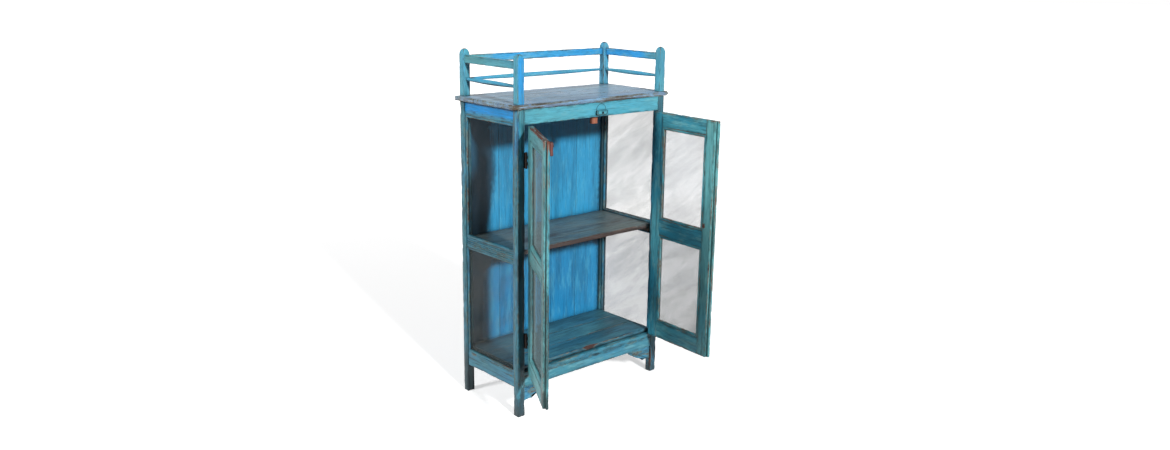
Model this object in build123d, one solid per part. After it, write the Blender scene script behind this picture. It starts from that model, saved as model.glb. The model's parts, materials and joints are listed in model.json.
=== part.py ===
from build123d import *
import os

os.makedirs("parts", exist_ok=True)

# A free-standing glazed cabinet with two doors, a shelf and an open gallery on its top.
# Frame: origin on the floor at the middle of the carcass, +X right, +Y to the back, +Z up.
# Sizes are in millimetres. The doors are drawn shut, then swung to where they stand at rest.

# carcass
width = 800.0                # over the outer faces of the posts
depth = 380.0                # over the front and back faces of the posts
leg_height = 123.0           # floor to the underside of the bottom rails
bottom_rail_height = 67.0
opening_height = 1013.0      # front rail to frieze
frieze_height = 59.0
post_wide = 34.0             # along X
post_deep = 30.0             # along Y
post_ease = 2.5              # rounding of a post's long edges
foot_bevel = 1.8
front_setback = 2.0          # frieze and front rail stand this far behind the posts
front_rail_thick = 28.0
front_bead_drop = 20.0       # front rail's top edge down to the bead on its face
front_bead_wide = 5.0
front_groove = 1.3           # radius of the grooves beside that bead
frieze_bevel = 1.2

# sides
side_setback = 4.0           # side rails stand this far inside the posts' outer faces
side_rail_thick = 20.0
side_top_height = 56.0
side_mid_height = 41.0
side_bottom_height = 63.0
reed_count = 4               # grooves along a side's middle rail
reed_radius = 1.6
glass_thick = 3.0
glass_gap = 1.0              # a pane's edge to the wood round it
side_bead_wide = 11.0
side_glass_inset = 6.0       # side rail's outer face to the glass
side_inner_wide = 9.0
side_inner_thick = 10.0
bead_bevel = 3.0
bead_bevel_most = 0.75       # most of a bead's thickness that its bevel may take

# back
board_thick = 12.0
back_inset = 8.0             # the back boards stand this far inside the posts' back faces
back_board_count = 5
board_gap = 0.6              # between neighbouring boards
board_bevel = 1.5
back_rail_thick = 14.0
back_tenon_set = 4.0         # back boards to the middle of a back rail's tenon

# shelf and floor
shelf_level = 694.0          # top of the shelf and of the side middle rails
shelf_thick = 18.0
shelf_setback = 31.0         # front of the posts to the front of the shelf
shelf_ease = 3.0
floor_thick = 16.0
floor_board_count = 3
panel_gap = 0.5              # between shelf or floor and the frame round it
cleat_wide = 16.0
cleat_high = 20.0
cleat_gap = 2.0              # a cleat's end to the posts

# top
top_thick = 19.0
top_side_overhang = 21.0
top_front_overhang = 3.0
top_back_overhang = 3.0
top_nosing = 6.0             # rounding of the top's front and side edges
top_board_count = 3
top_board_gap = 0.8

# gallery
gallery_wide = 32.0          # gallery post along X
gallery_deep = 29.0          # gallery post along Y
gallery_shoulder = 172.0     # top board to where a post starts to taper
gallery_cap = 17.0           # height of the tapered cap
gallery_cap_top = 10.0       # width across the cap's flat
gallery_waist_level = 0.6    # how far up the cap its slope turns flatter
gallery_waist_share = 0.75   # the post's width that is left there
gallery_rail_high = 30.0
gallery_rail_thick = 15.0
gallery_rail_level = 133.0   # top board to the rails' underside
gallery_rail_inset = 4.0     # posts' outer faces to the rails
gallery_tenon_long = 9.0
gallery_tenon_thick = 7.0
spindle_level = 67.0         # top board to a spindle's centre
spindle_thick = 19.0         # diameter at the middle
spindle_end = 10.0           # diameter at the ends
spindle_plug = 10.0          # length inside a post
dowel_radius = 6.0
dowel_long = 12.0

# brackets under the ends of the front rail: three lobes, from the post inwards
corbel_thick = 16.0
corbel_setback = 6.0
corbel_lengths = (44.0, 60.0, 30.0)
corbel_drops = ((61.0, 59.0), (48.0, 26.0), (24.0, 4.0))
corbel_bulges = (-2.5, 4.5, 4.0)

# doors
door_thick = 21.0
door_side_gap = 1.5
door_end_gap = 2.0
lap_wide = 9.0               # half lap where the doors meet
lap_gap = 1.0                # across the meeting edges
lap_slack = 0.5              # between the two halves' faces
hinge_stile = 64.0           # hinge edge to sight edge
meeting_stile = 58.0         # full-thickness edge to sight edge
door_top_rail = 70.0
door_mid_rail = 90.0
door_bottom_rail = 84.0
lower_light = 379.0          # height of the lower light
moulding_wide = 18.0
moulding_quirk = 1.5
moulding_swell = 1.6         # how far the moulding bulges from a straight slope
moulding_lip = 8.0           # door face to the moulding's thin edge
rebate_depth = 12.0          # door face to the glass
rebate_wide = 8.0
door_bead_wide = 11.0
door_tenon_long = 18.0
door_tenon_set = 13.0        # door face to the middle of a tenon
door_tenon_edge = 6.0        # moulding to tenon, and rail's outer edge to tenon
left_open = 120.0            # degrees open at rest
right_open = 87.0

# joints in the wood
tenon_thick = 6.0
side_tenon_long = 12.0
tenon_wall = 1.0             # wood left in a post between two mortises
tenon_shoulder = 8.0         # a rail's edge to its tenon
mortise_spare = 1.0          # a mortise is this much deeper than its tenon
joint_gap = 0.1              # round tenons, dowels, plugs and screws

# hinges
hinge_long = 62.0
hinge_from_end = 104.0       # door's end to the near end of its hinge
pin_proud = 7.0              # pin's centre in front of the doors
pin_radius = 2.5
pin_gap = 0.05
pin_head_radius = 3.6
pin_head_high = 2.0
barrel_radius = 5.0
knuckle_count = 5
knuckle_gap = 0.3
leaf_thick = 1.5
leaf_reach = 18.0            # door's face to the leaf's far edge
leaf_front = 1.0             # the leaf's plate starts this far in front of the door's face
leaf_gap = 0.2               # leaf's ends to its recess
hinge_screw_count = 3
hinge_screw_radius = 1.5
hinge_screw_head = 3.2
hinge_screw_head_thick = 0.9
hinge_screw_long = 13.0
hinge_screw_margin = 10.0    # leaf's end to its first screw
hinge_screw_set = 10.5       # door's face to the screws

# turn buttons and the stop
turn_screw_radius = 2.0
turn_gap = 0.06              # running clearance round a turn button's screw
turn_slack = 0.15            # a turn button's faces to its washer and screw head
turn_head_radius = 4.6
turn_head_thick = 2.4
turn_screw_deep = 12.0       # length inside the wood
turn_washer_radius = 7.0
frieze_button_x = 33.0
frieze_button_rise = 17.0    # frieze's underside up to the screw
frieze_button_long = 61.0
frieze_button_wide = 18.0
frieze_button_thick = 8.0
frieze_button_clear = 0.8    # doors' face to the button's back
door_button_x = 17.0         # middle of the cabinet to the screw, with the doors shut
door_button_drop = 5.0       # door's top to the button's upper end
door_button_long = 49.0
door_button_wide = 24.0
door_button_thick = 12.0
door_button_pivot = 14.0     # button's upper end to the screw
door_button_clear = 1.5      # door's inner face to the button
button_ease = 3.0
stop_gap = 0.5               # shut doors to what stops them
stop_x = 18.0
stop_wide = 30.0
stop_thick = 17.0
stop_hang = 31.0             # how far the stop reaches below the frieze

# planes and levels that follow from the sizes above
front = -depth / 2
back = depth / 2
post_x = width / 2 - post_wide
post_front = front + post_deep
post_back = back - post_deep
z_rail = leg_height + bottom_rail_height
z_frieze = z_rail + opening_height
z_top = z_frieze + frieze_height
z_board = z_top + top_thick
stop_y = front + door_thick + stop_gap
rail_face = front + front_setback
boards_y = back - back_inset - board_thick
side_out = width / 2 - side_setback
side_in = side_out - side_rail_thick
side_tenon_x = (side_out + side_in) / 2
cross_tenon_long = side_tenon_x - tenon_thick / 2 - tenon_wall - mortise_spare - post_x
floor_top = z_rail + floor_thick
shelf_under = shelf_level - shelf_thick
door_low = z_rail + door_end_gap
door_high = z_frieze - door_end_gap
door_back = front + door_thick
hinge_edge = post_x - door_side_gap
pin_x = post_x - door_side_gap / 2
pin_y = front - pin_proud
full_edge = (lap_wide + lap_gap * 2) / 2
tongue_edge = lap_wide / 2
meeting_sight = full_edge + meeting_stile
hinge_sight = hinge_edge - hinge_stile
light_middle = (meeting_sight + hinge_sight) / 2
lower_light_low = door_low + door_bottom_rail
lower_light_high = lower_light_low + lower_light
upper_light_low = lower_light_high + door_mid_rail
upper_light_high = door_high - door_top_rail
side_levels = [
    (leg_height, leg_height + side_bottom_height),
    (shelf_level - side_mid_height, shelf_level),
    (z_top - side_top_height, z_top),
]
hinge_lows = [door_low + hinge_from_end, door_high - hinge_from_end - hinge_long]


def block(x0, x1, y0, y1, z0, z1):
    size = (abs(x1 - x0), abs(y1 - y0), abs(z1 - z0))
    corner = Pos(min(x0, x1), min(y0, y1), min(z0, z1))
    return corner * Box(*size, align=(Align.MIN, Align.MIN, Align.MIN))


def rod(radius, start, direction, length):
    return extrude(Plane(origin=start, z_dir=direction) * Circle(radius), length)


def to_left(solid):
    return mirror(solid, about=Plane.YZ)


def both_sides(solids):
    right = list(solids)
    return right + [to_left(solid) for solid in right]


def front_to_back(solid):
    return mirror(solid, about=Plane.XZ)


def group(solids):
    return Compound(children=list(solids))


# ---------------------------------------------------------------- carcass joints

# Tenon of a side rail at its front end. With slack it is the mortise for it.
def side_tenon(low, high, slack=0.0, spare=0.0):
    half = tenon_thick / 2 + slack
    z0 = low + tenon_shoulder - slack
    z1 = high - tenon_shoulder + slack
    return block(side_tenon_x - half, side_tenon_x + half, post_front - side_tenon_long - spare,
                 post_front, z0, z1)


# Right-hand tenon of a rail that runs along X, with its middle plane at y.
def cross_tenon(y, low, high, slack=0.0, spare=0.0):
    half = tenon_thick / 2 + slack
    z0 = low + tenon_shoulder - slack
    z1 = high - tenon_shoulder + slack
    return block(post_x, post_x + cross_tenon_long + spare, y - half, y + half, z0, z1)


def front_tenons(slack=0.0, spare=0.0):
    upper = cross_tenon((rail_face + stop_y) / 2, z_frieze, z_top, slack, spare)
    lower = cross_tenon(rail_face + front_rail_thick / 2, leg_height, z_rail, slack, spare)
    return upper, lower


def back_tenons(slack=0.0, spare=0.0):
    y = boards_y - back_tenon_set
    return cross_tenon(y, z_frieze, z_top, slack, spare), cross_tenon(y, leg_height, z_rail, slack, spare)


# ---------------------------------------------------------------- carcass

def post_blank(y0, y1):
    solid = block(post_x, width / 2, y0, y1, 0, z_top)
    solid = fillet(solid.edges().filter_by(Axis.Z), post_ease)
    return chamfer(solid.faces().sort_by(Axis.Z)[0].edges(), foot_bevel)


def front_post():
    solid = post_blank(front, post_front)
    for low, high in side_levels:
        solid -= side_tenon(low, high, joint_gap, mortise_spare)
    for tenon in front_tenons(joint_gap, mortise_spare):
        solid -= tenon
    for low in hinge_lows:
        solid -= block(post_x, post_x + leaf_thick, front, front + leaf_reach + leaf_gap,
                       low - leaf_gap, low + hinge_long + leaf_gap)
        for hole in frame_screws(low, joint_gap):
            solid -= hole
    return solid


def back_post():
    solid = post_blank(post_back, back)
    for low, high in side_levels:
        solid -= front_to_back(side_tenon(low, high, joint_gap, mortise_spare))
    for tenon in back_tenons(joint_gap, mortise_spare):
        solid -= tenon
    return solid


def frieze():
    solid = block(-post_x, post_x, rail_face, stop_y, z_frieze, z_top)
    edge = solid.edges().filter_by(Axis.X).group_by(Axis.Z)[0].sort_by(Axis.Y)[0]
    solid = chamfer(edge, frieze_bevel)
    tenon = front_tenons()[0]
    hole = rod(turn_screw_radius + joint_gap, (frieze_button_x, rail_face, z_frieze + frieze_button_rise),
               (0, 1, 0), turn_screw_deep + joint_gap)
    return solid + tenon + to_left(tenon) - hole


def front_bottom_rail():
    solid = block(-post_x, post_x, rail_face, rail_face + front_rail_thick, leg_height, z_rail)
    for side in (-1, 1):
        z = z_rail - front_bead_drop + side * front_bead_wide / 2
        solid -= rod(front_groove, (-post_x, rail_face, z), (1, 0, 0), 2 * post_x)
    tenon = front_tenons()[1]
    return solid + tenon + to_left(tenon)


def side_rail(low, high):
    solid = block(side_in, side_out, post_front, post_back, low, high)
    tenon = side_tenon(low, high)
    return solid + tenon + front_to_back(tenon)


def reeded_rail(low, high):
    solid = side_rail(low, high)
    for number in range(reed_count):
        z = low + (number + 1) * (high - low) / (reed_count + 1)
        solid -= rod(reed_radius, (side_out, post_front, z), (0, 1, 0), post_back - post_front)
    return solid


def back_rails():
    rails = []
    for tenon, low, high in zip(back_tenons(), (z_frieze, leg_height), (z_top, z_rail)):
        rail = block(-post_x, post_x, boards_y - back_rail_thick, boards_y, low, high)
        rails.append(rail + tenon + to_left(tenon))
    return rails


def back_boards():
    pitch = 2 * post_x / back_board_count
    boards = []
    for number in range(back_board_count):
        x0 = -post_x + number * pitch + board_gap / 2
        board = block(x0, x0 + pitch - board_gap, boards_y, boards_y + board_thick, leg_height, z_top)
        boards.append(chamfer(board.faces().sort_by(Axis.Y)[0].edges().filter_by(Axis.Z), board_bevel))
    return boards


# Right-hand bracket, drawn on its face from the post inwards.
def corbel():
    edges = []
    x = post_x
    here = (x, leg_height)
    for length, drops, bulge in zip(corbel_lengths, corbel_drops, corbel_bulges):
        start = (x, leg_height - drops[0])
        end = (x - length, leg_height - drops[1])
        crown = ((start[0] + end[0]) / 2, (start[1] + end[1]) / 2 - bulge)
        edges.append(Line(here, start))
        edges.append(ThreePointArc(start, crown, end))
        x -= length
        here = end
    edges.append(Line(here, (x, leg_height)))
    edges.append(Line((x, leg_height), (post_x, leg_height)))
    plane = Plane(origin=(0, front + corbel_setback, 0), x_dir=(1, 0, 0), z_dir=(0, -1, 0))
    return extrude(plane * make_face(edges), -corbel_thick)


def shelf():
    x1 = side_in - panel_gap
    solid = block(-x1, x1, front + shelf_setback, boards_y - panel_gap, shelf_under, shelf_level)
    solid = fillet(solid.faces().sort_by(Axis.Y)[0].edges().filter_by(Axis.X), shelf_ease)
    notch = block(post_x - panel_gap, width / 2, post_back - panel_gap, back, shelf_under, shelf_level)
    return solid - notch - to_left(notch)


# The front edge of the floor stands up behind the doors and stops them.
def floor_boards():
    x1 = side_in - panel_gap
    pitch = (boards_y - panel_gap - stop_y) / floor_board_count
    near = block(post_x - panel_gap, width / 2, front, post_front + panel_gap, z_rail, floor_top)
    far = block(post_x - panel_gap, width / 2, post_back - panel_gap, back, z_rail, floor_top)
    boards = []
    for number in range(floor_board_count):
        y0 = stop_y + number * pitch + (board_gap if number else 0)
        board = block(-x1, x1, y0, stop_y + (number + 1) * pitch, z_rail, floor_top)
        for notch in both_sides([near, far]):
            board -= notch
        boards.append(board)
    return boards


def right_cleats():
    y0 = post_front + cleat_gap
    x0 = side_in - cleat_wide
    under_floor = block(x0, side_in, y0, boards_y - back_rail_thick, z_rail - cleat_high, z_rail)
    under_shelf = block(x0, side_in, y0, post_back - cleat_gap, shelf_under - cleat_high, shelf_under)
    return [under_floor, under_shelf]


def stop_block():
    return block(stop_x - stop_wide / 2, stop_x + stop_wide / 2, stop_y, stop_y + stop_thick,
                 z_frieze - stop_hang, z_top)


# ---------------------------------------------------------------- glass and beads

# Four mitred strips on the XY plane round a light, with their sight edges bevelled on top.
def bead_strips(across, up, strip, thick):
    ring = extrude(Rectangle(across, up) - Rectangle(across - 2 * strip, up - 2 * strip), thick)
    sight = ring.faces().sort_by(Axis.Z)[-1].inner_wires()[0].edges()
    ring = chamfer(sight, min(bead_bevel, bead_bevel_most * thick))
    x0, y0 = across / 2, up / 2
    x1, y1 = x0 - strip, y0 - strip
    outer = [(-x0, -y0), (x0, -y0), (x0, y0), (-x0, y0)]
    inner = [(-x1, -y1), (x1, -y1), (x1, y1), (-x1, y1)]
    strips = []
    for number in range(4):
        after = (number + 1) % 4
        outline = Polyline(outer[number], outer[after], inner[after], inner[number], close=True)
        strips.append((ring & extrude(make_face(outline), thick)).solids()[0])
    return strips


def side_lights():
    return [(side_levels[0][1], side_levels[1][0]), (side_levels[1][1], side_levels[2][0])]


def side_pane(low, high):
    outer = side_out - side_glass_inset
    return block(outer - glass_thick, outer, post_front + glass_gap, post_back - glass_gap,
                 low + glass_gap, high - glass_gap)


def side_beads():
    outer = side_out - side_glass_inset
    strips = []
    for low, high in side_lights():
        middle = (low + high) / 2
        out = Plane(origin=(outer, 0, middle), x_dir=(0, 1, 0), z_dir=(1, 0, 0))
        into = Plane(origin=(outer - glass_thick, 0, middle), x_dir=(0, -1, 0), z_dir=(-1, 0, 0))
        span = post_back - post_front
        outer_strips = bead_strips(span, high - low, side_bead_wide, side_glass_inset)
        inner_strips = bead_strips(span, high - low, side_inner_wide, side_inner_thick)
        strips += [out * strip for strip in outer_strips]
        strips += [into * strip for strip in inner_strips]
    return strips


# ---------------------------------------------------------------- top and gallery

def top_boards():
    x1 = width / 2 + top_side_overhang
    y0 = front - top_front_overhang
    y1 = back + top_back_overhang
    whole = block(-x1, x1, y0, y1, z_top, z_board)
    rims = whole.faces().sort_by(Axis.Z)[-1].edges() + whole.faces().sort_by(Axis.Z)[0].edges()
    whole = fillet([edge for edge in rims if edge.center().Y < back], top_nosing)
    for hole in both_sides([dowel(joint_gap, mortise_spare), back_dowel(joint_gap, mortise_spare)]):
        whole -= hole
    pitch = (y1 - y0) / top_board_count
    boards = []
    for number in range(top_board_count):
        near = y0 + number * pitch + (top_board_gap if number else 0)
        cut = block(-x1, x1, near, y0 + (number + 1) * pitch, z_top, z_board)
        boards.append((whole & cut).solids()[0])
    return boards


# Dowel under the right-hand front gallery post. With slack it is the hole for it.
def dowel(slack=0.0, spare=0.0):
    centre = (width / 2 - gallery_wide / 2, front + gallery_deep / 2, z_board)
    return rod(dowel_radius + slack, centre, (0, 0, -1), dowel_long + spare)


def back_dowel(slack=0.0, spare=0.0):
    return front_to_back(dowel(slack, spare))


# Tenons of the side and back gallery rails in the right-hand back post.
def gallery_side_tenon(slack=0.0, spare=0.0):
    x = width / 2 - gallery_rail_inset - gallery_rail_thick / 2
    half = gallery_tenon_thick / 2 + slack
    z0 = z_board + gallery_rail_level + tenon_shoulder - slack
    z1 = z_board + gallery_rail_level + gallery_rail_high - tenon_shoulder + slack
    y0 = back - gallery_deep
    return block(x - half, x + half, y0, y0 + gallery_tenon_long + spare, z0, z1)


def gallery_back_tenon(slack=0.0, spare=0.0):
    y = back - gallery_rail_inset - gallery_rail_thick / 2
    half = gallery_tenon_thick / 2 + slack
    z0 = z_board + gallery_rail_level + tenon_shoulder - slack
    z1 = z_board + gallery_rail_level + gallery_rail_high - tenon_shoulder + slack
    x0 = width / 2 - gallery_wide
    return block(x0, x0 + gallery_tenon_long + spare, y - half, y + half, z0, z1)


# Holes for the side and back spindles in the right-hand back post.
def spindle_holes():
    z = z_board + spindle_level
    x = width / 2 - gallery_wide / 2
    y = back - gallery_deep / 2
    radius = spindle_end / 2 + joint_gap
    depth_in = spindle_plug + mortise_spare
    side = rod(radius, (x, back - gallery_deep, z), (0, 1, 0), depth_in)
    across = rod(radius, (width / 2 - gallery_wide, y, z), (1, 0, 0), depth_in)
    return side, across


def gallery_blank():
    shoulder = z_board + gallery_shoulder
    x = width / 2 - gallery_wide / 2
    y = back - gallery_deep / 2
    stem = block(x - gallery_wide / 2, x + gallery_wide / 2, back - gallery_deep, back, z_board, shoulder)
    stem = fillet(stem.edges().filter_by(Axis.Z), post_ease)
    low = Plane(origin=(x, y, shoulder)) * RectangleRounded(gallery_wide, gallery_deep, post_ease)
    waist = Plane(origin=(x, y, shoulder + gallery_waist_level * gallery_cap)) * RectangleRounded(
        gallery_waist_share * gallery_wide, gallery_waist_share * gallery_deep, post_ease)
    crown = Plane(origin=(x, y, shoulder + gallery_cap)) * RectangleRounded(
        gallery_cap_top, gallery_cap_top, post_ease)
    return stem + loft([low, waist]) + loft([waist, crown]) + back_dowel()


def gallery_back_post():
    solid = gallery_blank() - gallery_side_tenon(joint_gap, mortise_spare)
    solid -= gallery_back_tenon(joint_gap, mortise_spare)
    for hole in spindle_holes():
        solid -= hole
    return solid


def gallery_front_post():
    solid = gallery_blank() - gallery_side_tenon(joint_gap, mortise_spare) - spindle_holes()[0]
    return front_to_back(solid)


def gallery_side_rail():
    x1 = width / 2 - gallery_rail_inset
    z0 = z_board + gallery_rail_level
    y1 = back - gallery_deep
    solid = block(x1 - gallery_rail_thick, x1, -y1, y1, z0, z0 + gallery_rail_high)
    tenon = gallery_side_tenon()
    return solid + tenon + front_to_back(tenon)


def gallery_back_rail():
    y1 = back - gallery_rail_inset
    z0 = z_board + gallery_rail_level
    x1 = width / 2 - gallery_wide
    solid = block(-x1, x1, y1 - gallery_rail_thick, y1, z0, z0 + gallery_rail_high)
    tenon = gallery_back_tenon()
    return solid + tenon + to_left(tenon)


# A swelled bar between two posts, centred on the origin along Z.
def spindle(clear_length):
    half = clear_length / 2
    end = spindle_end / 2
    tip = half + spindle_plug
    edges = [
        Line((0, -tip), (end, -tip)),
        Line((end, -tip), (end, -half)),
        ThreePointArc((end, -half), (spindle_thick / 2, 0), (end, half)),
        Line((end, half), (end, tip)),
        Line((end, tip), (0, tip)),
        Line((0, tip), (0, -tip)),
    ]
    return revolve(Plane.XZ * make_face(edges), Axis.Z)


def spindles():
    z = z_board + spindle_level
    side = Plane(origin=(width / 2 - gallery_wide / 2, 0, z), z_dir=(0, 1, 0))
    across = Plane(origin=(0, back - gallery_deep / 2, z), z_dir=(1, 0, 0))
    right = side * spindle(depth - 2 * gallery_deep)
    return [right, to_left(right), across * spindle(width - 2 * gallery_wide)]


# ---------------------------------------------------------------- doors, drawn shut

# Section of a door member: across it from its outer edge to the light, and in from the door's face.
def member_section(wide):
    flat = wide - moulding_wide
    crown = (wide - moulding_wide / 2, (moulding_quirk + moulding_lip) / 2 - moulding_swell)
    edges = [
        Line((0, 0), (flat, 0)),
        Line((flat, 0), (flat, moulding_quirk)),
        ThreePointArc((flat, moulding_quirk), crown, (wide, moulding_lip)),
        Line((wide, moulding_lip), (wide, rebate_depth)),
        Line((wide, rebate_depth), (wide - rebate_wide, rebate_depth)),
        Line((wide - rebate_wide, rebate_depth), (wide - rebate_wide, door_thick)),
        Line((wide - rebate_wide, door_thick), (0, door_thick)),
        Line((0, door_thick), (0, 0)),
    ]
    return make_face(edges)


def member(middle, across, length, wide):
    plane = Plane(origin=middle, x_dir=across, z_dir=Vector(*across).cross(Vector(0, 1, 0)))
    return extrude(plane * member_section(wide), length / 2, both=True)


def stile_blanks():
    z = (door_low + door_high) / 2
    tall = door_high - door_low
    hinge = member((hinge_edge, front, z), (-1, 0, 0), tall, hinge_stile)
    meeting = member((full_edge, front, z), (1, 0, 0), tall, meeting_stile)
    return hinge, meeting


# Heights between which the three rails' tenons lie, from the lowest up.
def tenon_levels():
    shy = moulding_wide + door_tenon_edge
    return [
        (door_low + door_tenon_edge, lower_light_low - shy),
        (lower_light_high + shy, upper_light_low - shy),
        (upper_light_high + shy, door_high - door_tenon_edge),
    ]


# Both tenons of a door rail. With slack they are the mortises for them.
def door_tenons(low, high, slack=0.0, spare=0.0):
    half = tenon_thick / 2 + slack
    y = front + door_tenon_set
    reach = moulding_wide + door_tenon_long + spare
    near = block(meeting_sight - reach, meeting_sight, y - half, y + half, low - slack, high + slack)
    far = block(hinge_sight, hinge_sight + reach, y - half, y + half, low - slack, high + slack)
    return near, far


def hinge_stile_solid():
    solid = stile_blanks()[0]
    for low, high in tenon_levels():
        solid -= door_tenons(low, high, joint_gap, mortise_spare)[1]
    for low in hinge_lows:
        solid -= block(hinge_edge - leaf_thick, hinge_edge, front, front + leaf_reach + leaf_gap,
                       low - leaf_gap, low + hinge_long + leaf_gap)
        for hole in door_screws(low, joint_gap):
            solid -= hole
    return solid


def meeting_stile_solid():
    solid = stile_blanks()[1]
    for low, high in tenon_levels():
        solid -= door_tenons(low, high, joint_gap, mortise_spare)[0]
    return solid


# The right door laps over the left one, so its tongue is on the outside.
def outer_tongue():
    return block(-tongue_edge, full_edge, front, front + (door_thick - lap_slack) / 2, door_low, door_high)


def inner_tongue():
    near = front + (door_thick + lap_slack) / 2
    return block(-tongue_edge, full_edge, near, door_back, door_low, door_high)


# A rail is scribed over the mouldings of both stiles.
def scribed(rail, low, high):
    for stile in stile_blanks():
        rail -= stile
    for tenon in door_tenons(low, high):
        rail += tenon
    return rail


def rail_length():
    return hinge_sight - meeting_sight + 2 * moulding_wide


def door_bottom():
    rail = member((light_middle, front, door_low), (0, 0, 1), rail_length(), door_bottom_rail)
    return scribed(rail, *tenon_levels()[0])


def door_middle():
    z = (lower_light_high + upper_light_low) / 2
    up = member((light_middle, front, z), (0, 0, 1), rail_length(), door_mid_rail / 2)
    down = member((light_middle, front, z), (0, 0, -1), rail_length(), door_mid_rail / 2)
    return scribed(up + down, *tenon_levels()[1])


def door_top():
    rail = member((light_middle, front, door_high), (0, 0, -1), rail_length(), door_top_rail)
    return scribed(rail, *tenon_levels()[2])


def door_lights():
    return [(lower_light_low, lower_light_high), (upper_light_low, upper_light_high)]


def door_pane(low, high):
    grow = rebate_wide - glass_gap
    y = front + rebate_depth
    return block(meeting_sight - grow, hinge_sight + grow, y, y + glass_thick, low - grow, high + grow)


def door_beads():
    strips = []
    for low, high in door_lights():
        across = hinge_sight - meeting_sight + 2 * rebate_wide
        up = high - low + 2 * rebate_wide
        plane = Plane(origin=(light_middle, front + rebate_depth + glass_thick, (low + high) / 2),
                      x_dir=(-1, 0, 0), z_dir=(0, 1, 0))
        thick = door_thick - rebate_depth - glass_thick
        strips += [plane * strip for strip in bead_strips(across, up, door_bead_wide, thick)]
    return strips


# ---------------------------------------------------------------- hinges, right-hand side

def screw_heights(low):
    step = (hinge_long - 2 * hinge_screw_margin) / (hinge_screw_count - 1)
    return [low + hinge_screw_margin + number * step for number in range(hinge_screw_count)]


def leaf_screw(x, way, z, slack):
    start = (x, front + hinge_screw_set, z)
    head = rod(hinge_screw_head + slack, start, (way, 0, 0), hinge_screw_head_thick)
    return head + rod(hinge_screw_radius + slack, start, (way, 0, 0), hinge_screw_long + slack)


# Screws of one hinge in the post or in the door. With slack they are the holes for them.
def frame_screws(low, slack=0.0):
    return [leaf_screw(post_x, 1, z, slack) for z in screw_heights(low)]


def door_screws(low, slack=0.0):
    return [leaf_screw(hinge_edge, -1, z, slack) for z in screw_heights(low)]


# One leaf with every other knuckle, starting from the given one.
def leaf(low, first, x0, x1, holes):
    pitch = hinge_long / knuckle_count
    solid = block(x0, x1, front - leaf_front, front + leaf_reach, low, low + hinge_long)
    for number in range(first, knuckle_count, 2):
        z0 = low + number * pitch + (knuckle_gap / 2 if number else 0)
        z1 = low + (number + 1) * pitch - (knuckle_gap / 2 if number < knuckle_count - 1 else 0)
        solid += rod(barrel_radius, (pin_x, pin_y, z0), (0, 0, 1), z1 - z0)
        solid += block(x0, x1, pin_y, front, z0, z1)
    solid -= rod(pin_radius + pin_gap, (pin_x, pin_y, low), (0, 0, 1), hinge_long)
    for hole in holes:
        solid -= hole
    return solid


def frame_leaf(low):
    return leaf(low, 0, post_x, post_x + leaf_thick, frame_screws(low, joint_gap))


def door_leaf(low):
    return leaf(low, 1, hinge_edge - leaf_thick, hinge_edge, door_screws(low, joint_gap))


def hinge_pin(low):
    pin = rod(pin_radius, (pin_x, pin_y, low), (0, 0, 1), hinge_long + pin_head_high)
    head = rod(pin_head_radius, (pin_x, pin_y, low + hinge_long), (0, 0, 1), pin_head_high)
    return pin + head


# ---------------------------------------------------------------- turn buttons

# A screw that enters the wood at wood_y, with its head the stand away from the wood.
def turn_screw(x, z, wood_y, inward, stand):
    under_head = wood_y - inward * stand
    shank = rod(turn_screw_radius, (x, under_head, z), (0, inward, 0), stand + turn_screw_deep)
    return shank + rod(turn_head_radius, (x, under_head, z), (0, -inward, 0), turn_head_thick)


def washer(x, z, wood_y, inward, thick):
    ring = rod(turn_washer_radius, (x, wood_y, z), (0, -inward, 0), thick)
    return ring - rod(turn_screw_radius + joint_gap, (x, wood_y, z), (0, -inward, 0), thick)


# A bar of wood with eased corners, between the faces at y0 and y1.
def button(x0, x1, z0, z1, y0, y1, pivot_x, pivot_z):
    bar = block(x0, x1, y0, y1, z0, z1)
    bar = fillet(bar.edges().filter_by(Axis.Y), button_ease)
    hole = rod(turn_screw_radius + turn_gap, (pivot_x, min(y0, y1), pivot_z), (0, 1, 0), abs(y1 - y0))
    return bar - hole


frieze_pivot_z = z_frieze + frieze_button_rise
frieze_button_back = front - frieze_button_clear
frieze_button_face = frieze_button_back - frieze_button_thick
door_pivot_z = door_high - door_button_drop - door_button_pivot
door_button_near = door_back + door_button_clear
door_button_far = door_button_near + door_button_thick

frieze_button_solid = button(
    frieze_button_x - frieze_button_long / 2, frieze_button_x + frieze_button_long / 2,
    frieze_pivot_z - frieze_button_wide / 2, frieze_pivot_z + frieze_button_wide / 2,
    frieze_button_back, frieze_button_face, frieze_button_x, frieze_pivot_z)
frieze_stand = rail_face - frieze_button_face + turn_slack
frieze_screw = turn_screw(frieze_button_x, frieze_pivot_z, rail_face, 1, frieze_stand)
frieze_washer = washer(frieze_button_x, frieze_pivot_z, rail_face, 1,
                       rail_face - frieze_button_back - turn_slack)

door_button_high = door_high - door_button_drop
door_button_solid = button(
    -door_button_x - door_button_wide / 2, -door_button_x + door_button_wide / 2,
    door_button_high - door_button_long, door_button_high,
    door_button_near, door_button_far, -door_button_x, door_pivot_z)
door_stand = door_button_far - door_back + turn_slack
door_screw = turn_screw(-door_button_x, door_pivot_z, door_back, -1, door_stand)
door_washer = washer(-door_button_x, door_pivot_z, door_back, -1, door_button_clear - turn_slack)
door_screw_hole = rod(turn_screw_radius + joint_gap, (-door_button_x, door_back, door_pivot_z),
                      (0, -1, 0), turn_screw_deep + joint_gap)


# ---------------------------------------------------------------- the cabinet's nodes

def right_and_left(name, solid):
    return {name + "_right": solid, name + "_left": to_left(solid)}


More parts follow.
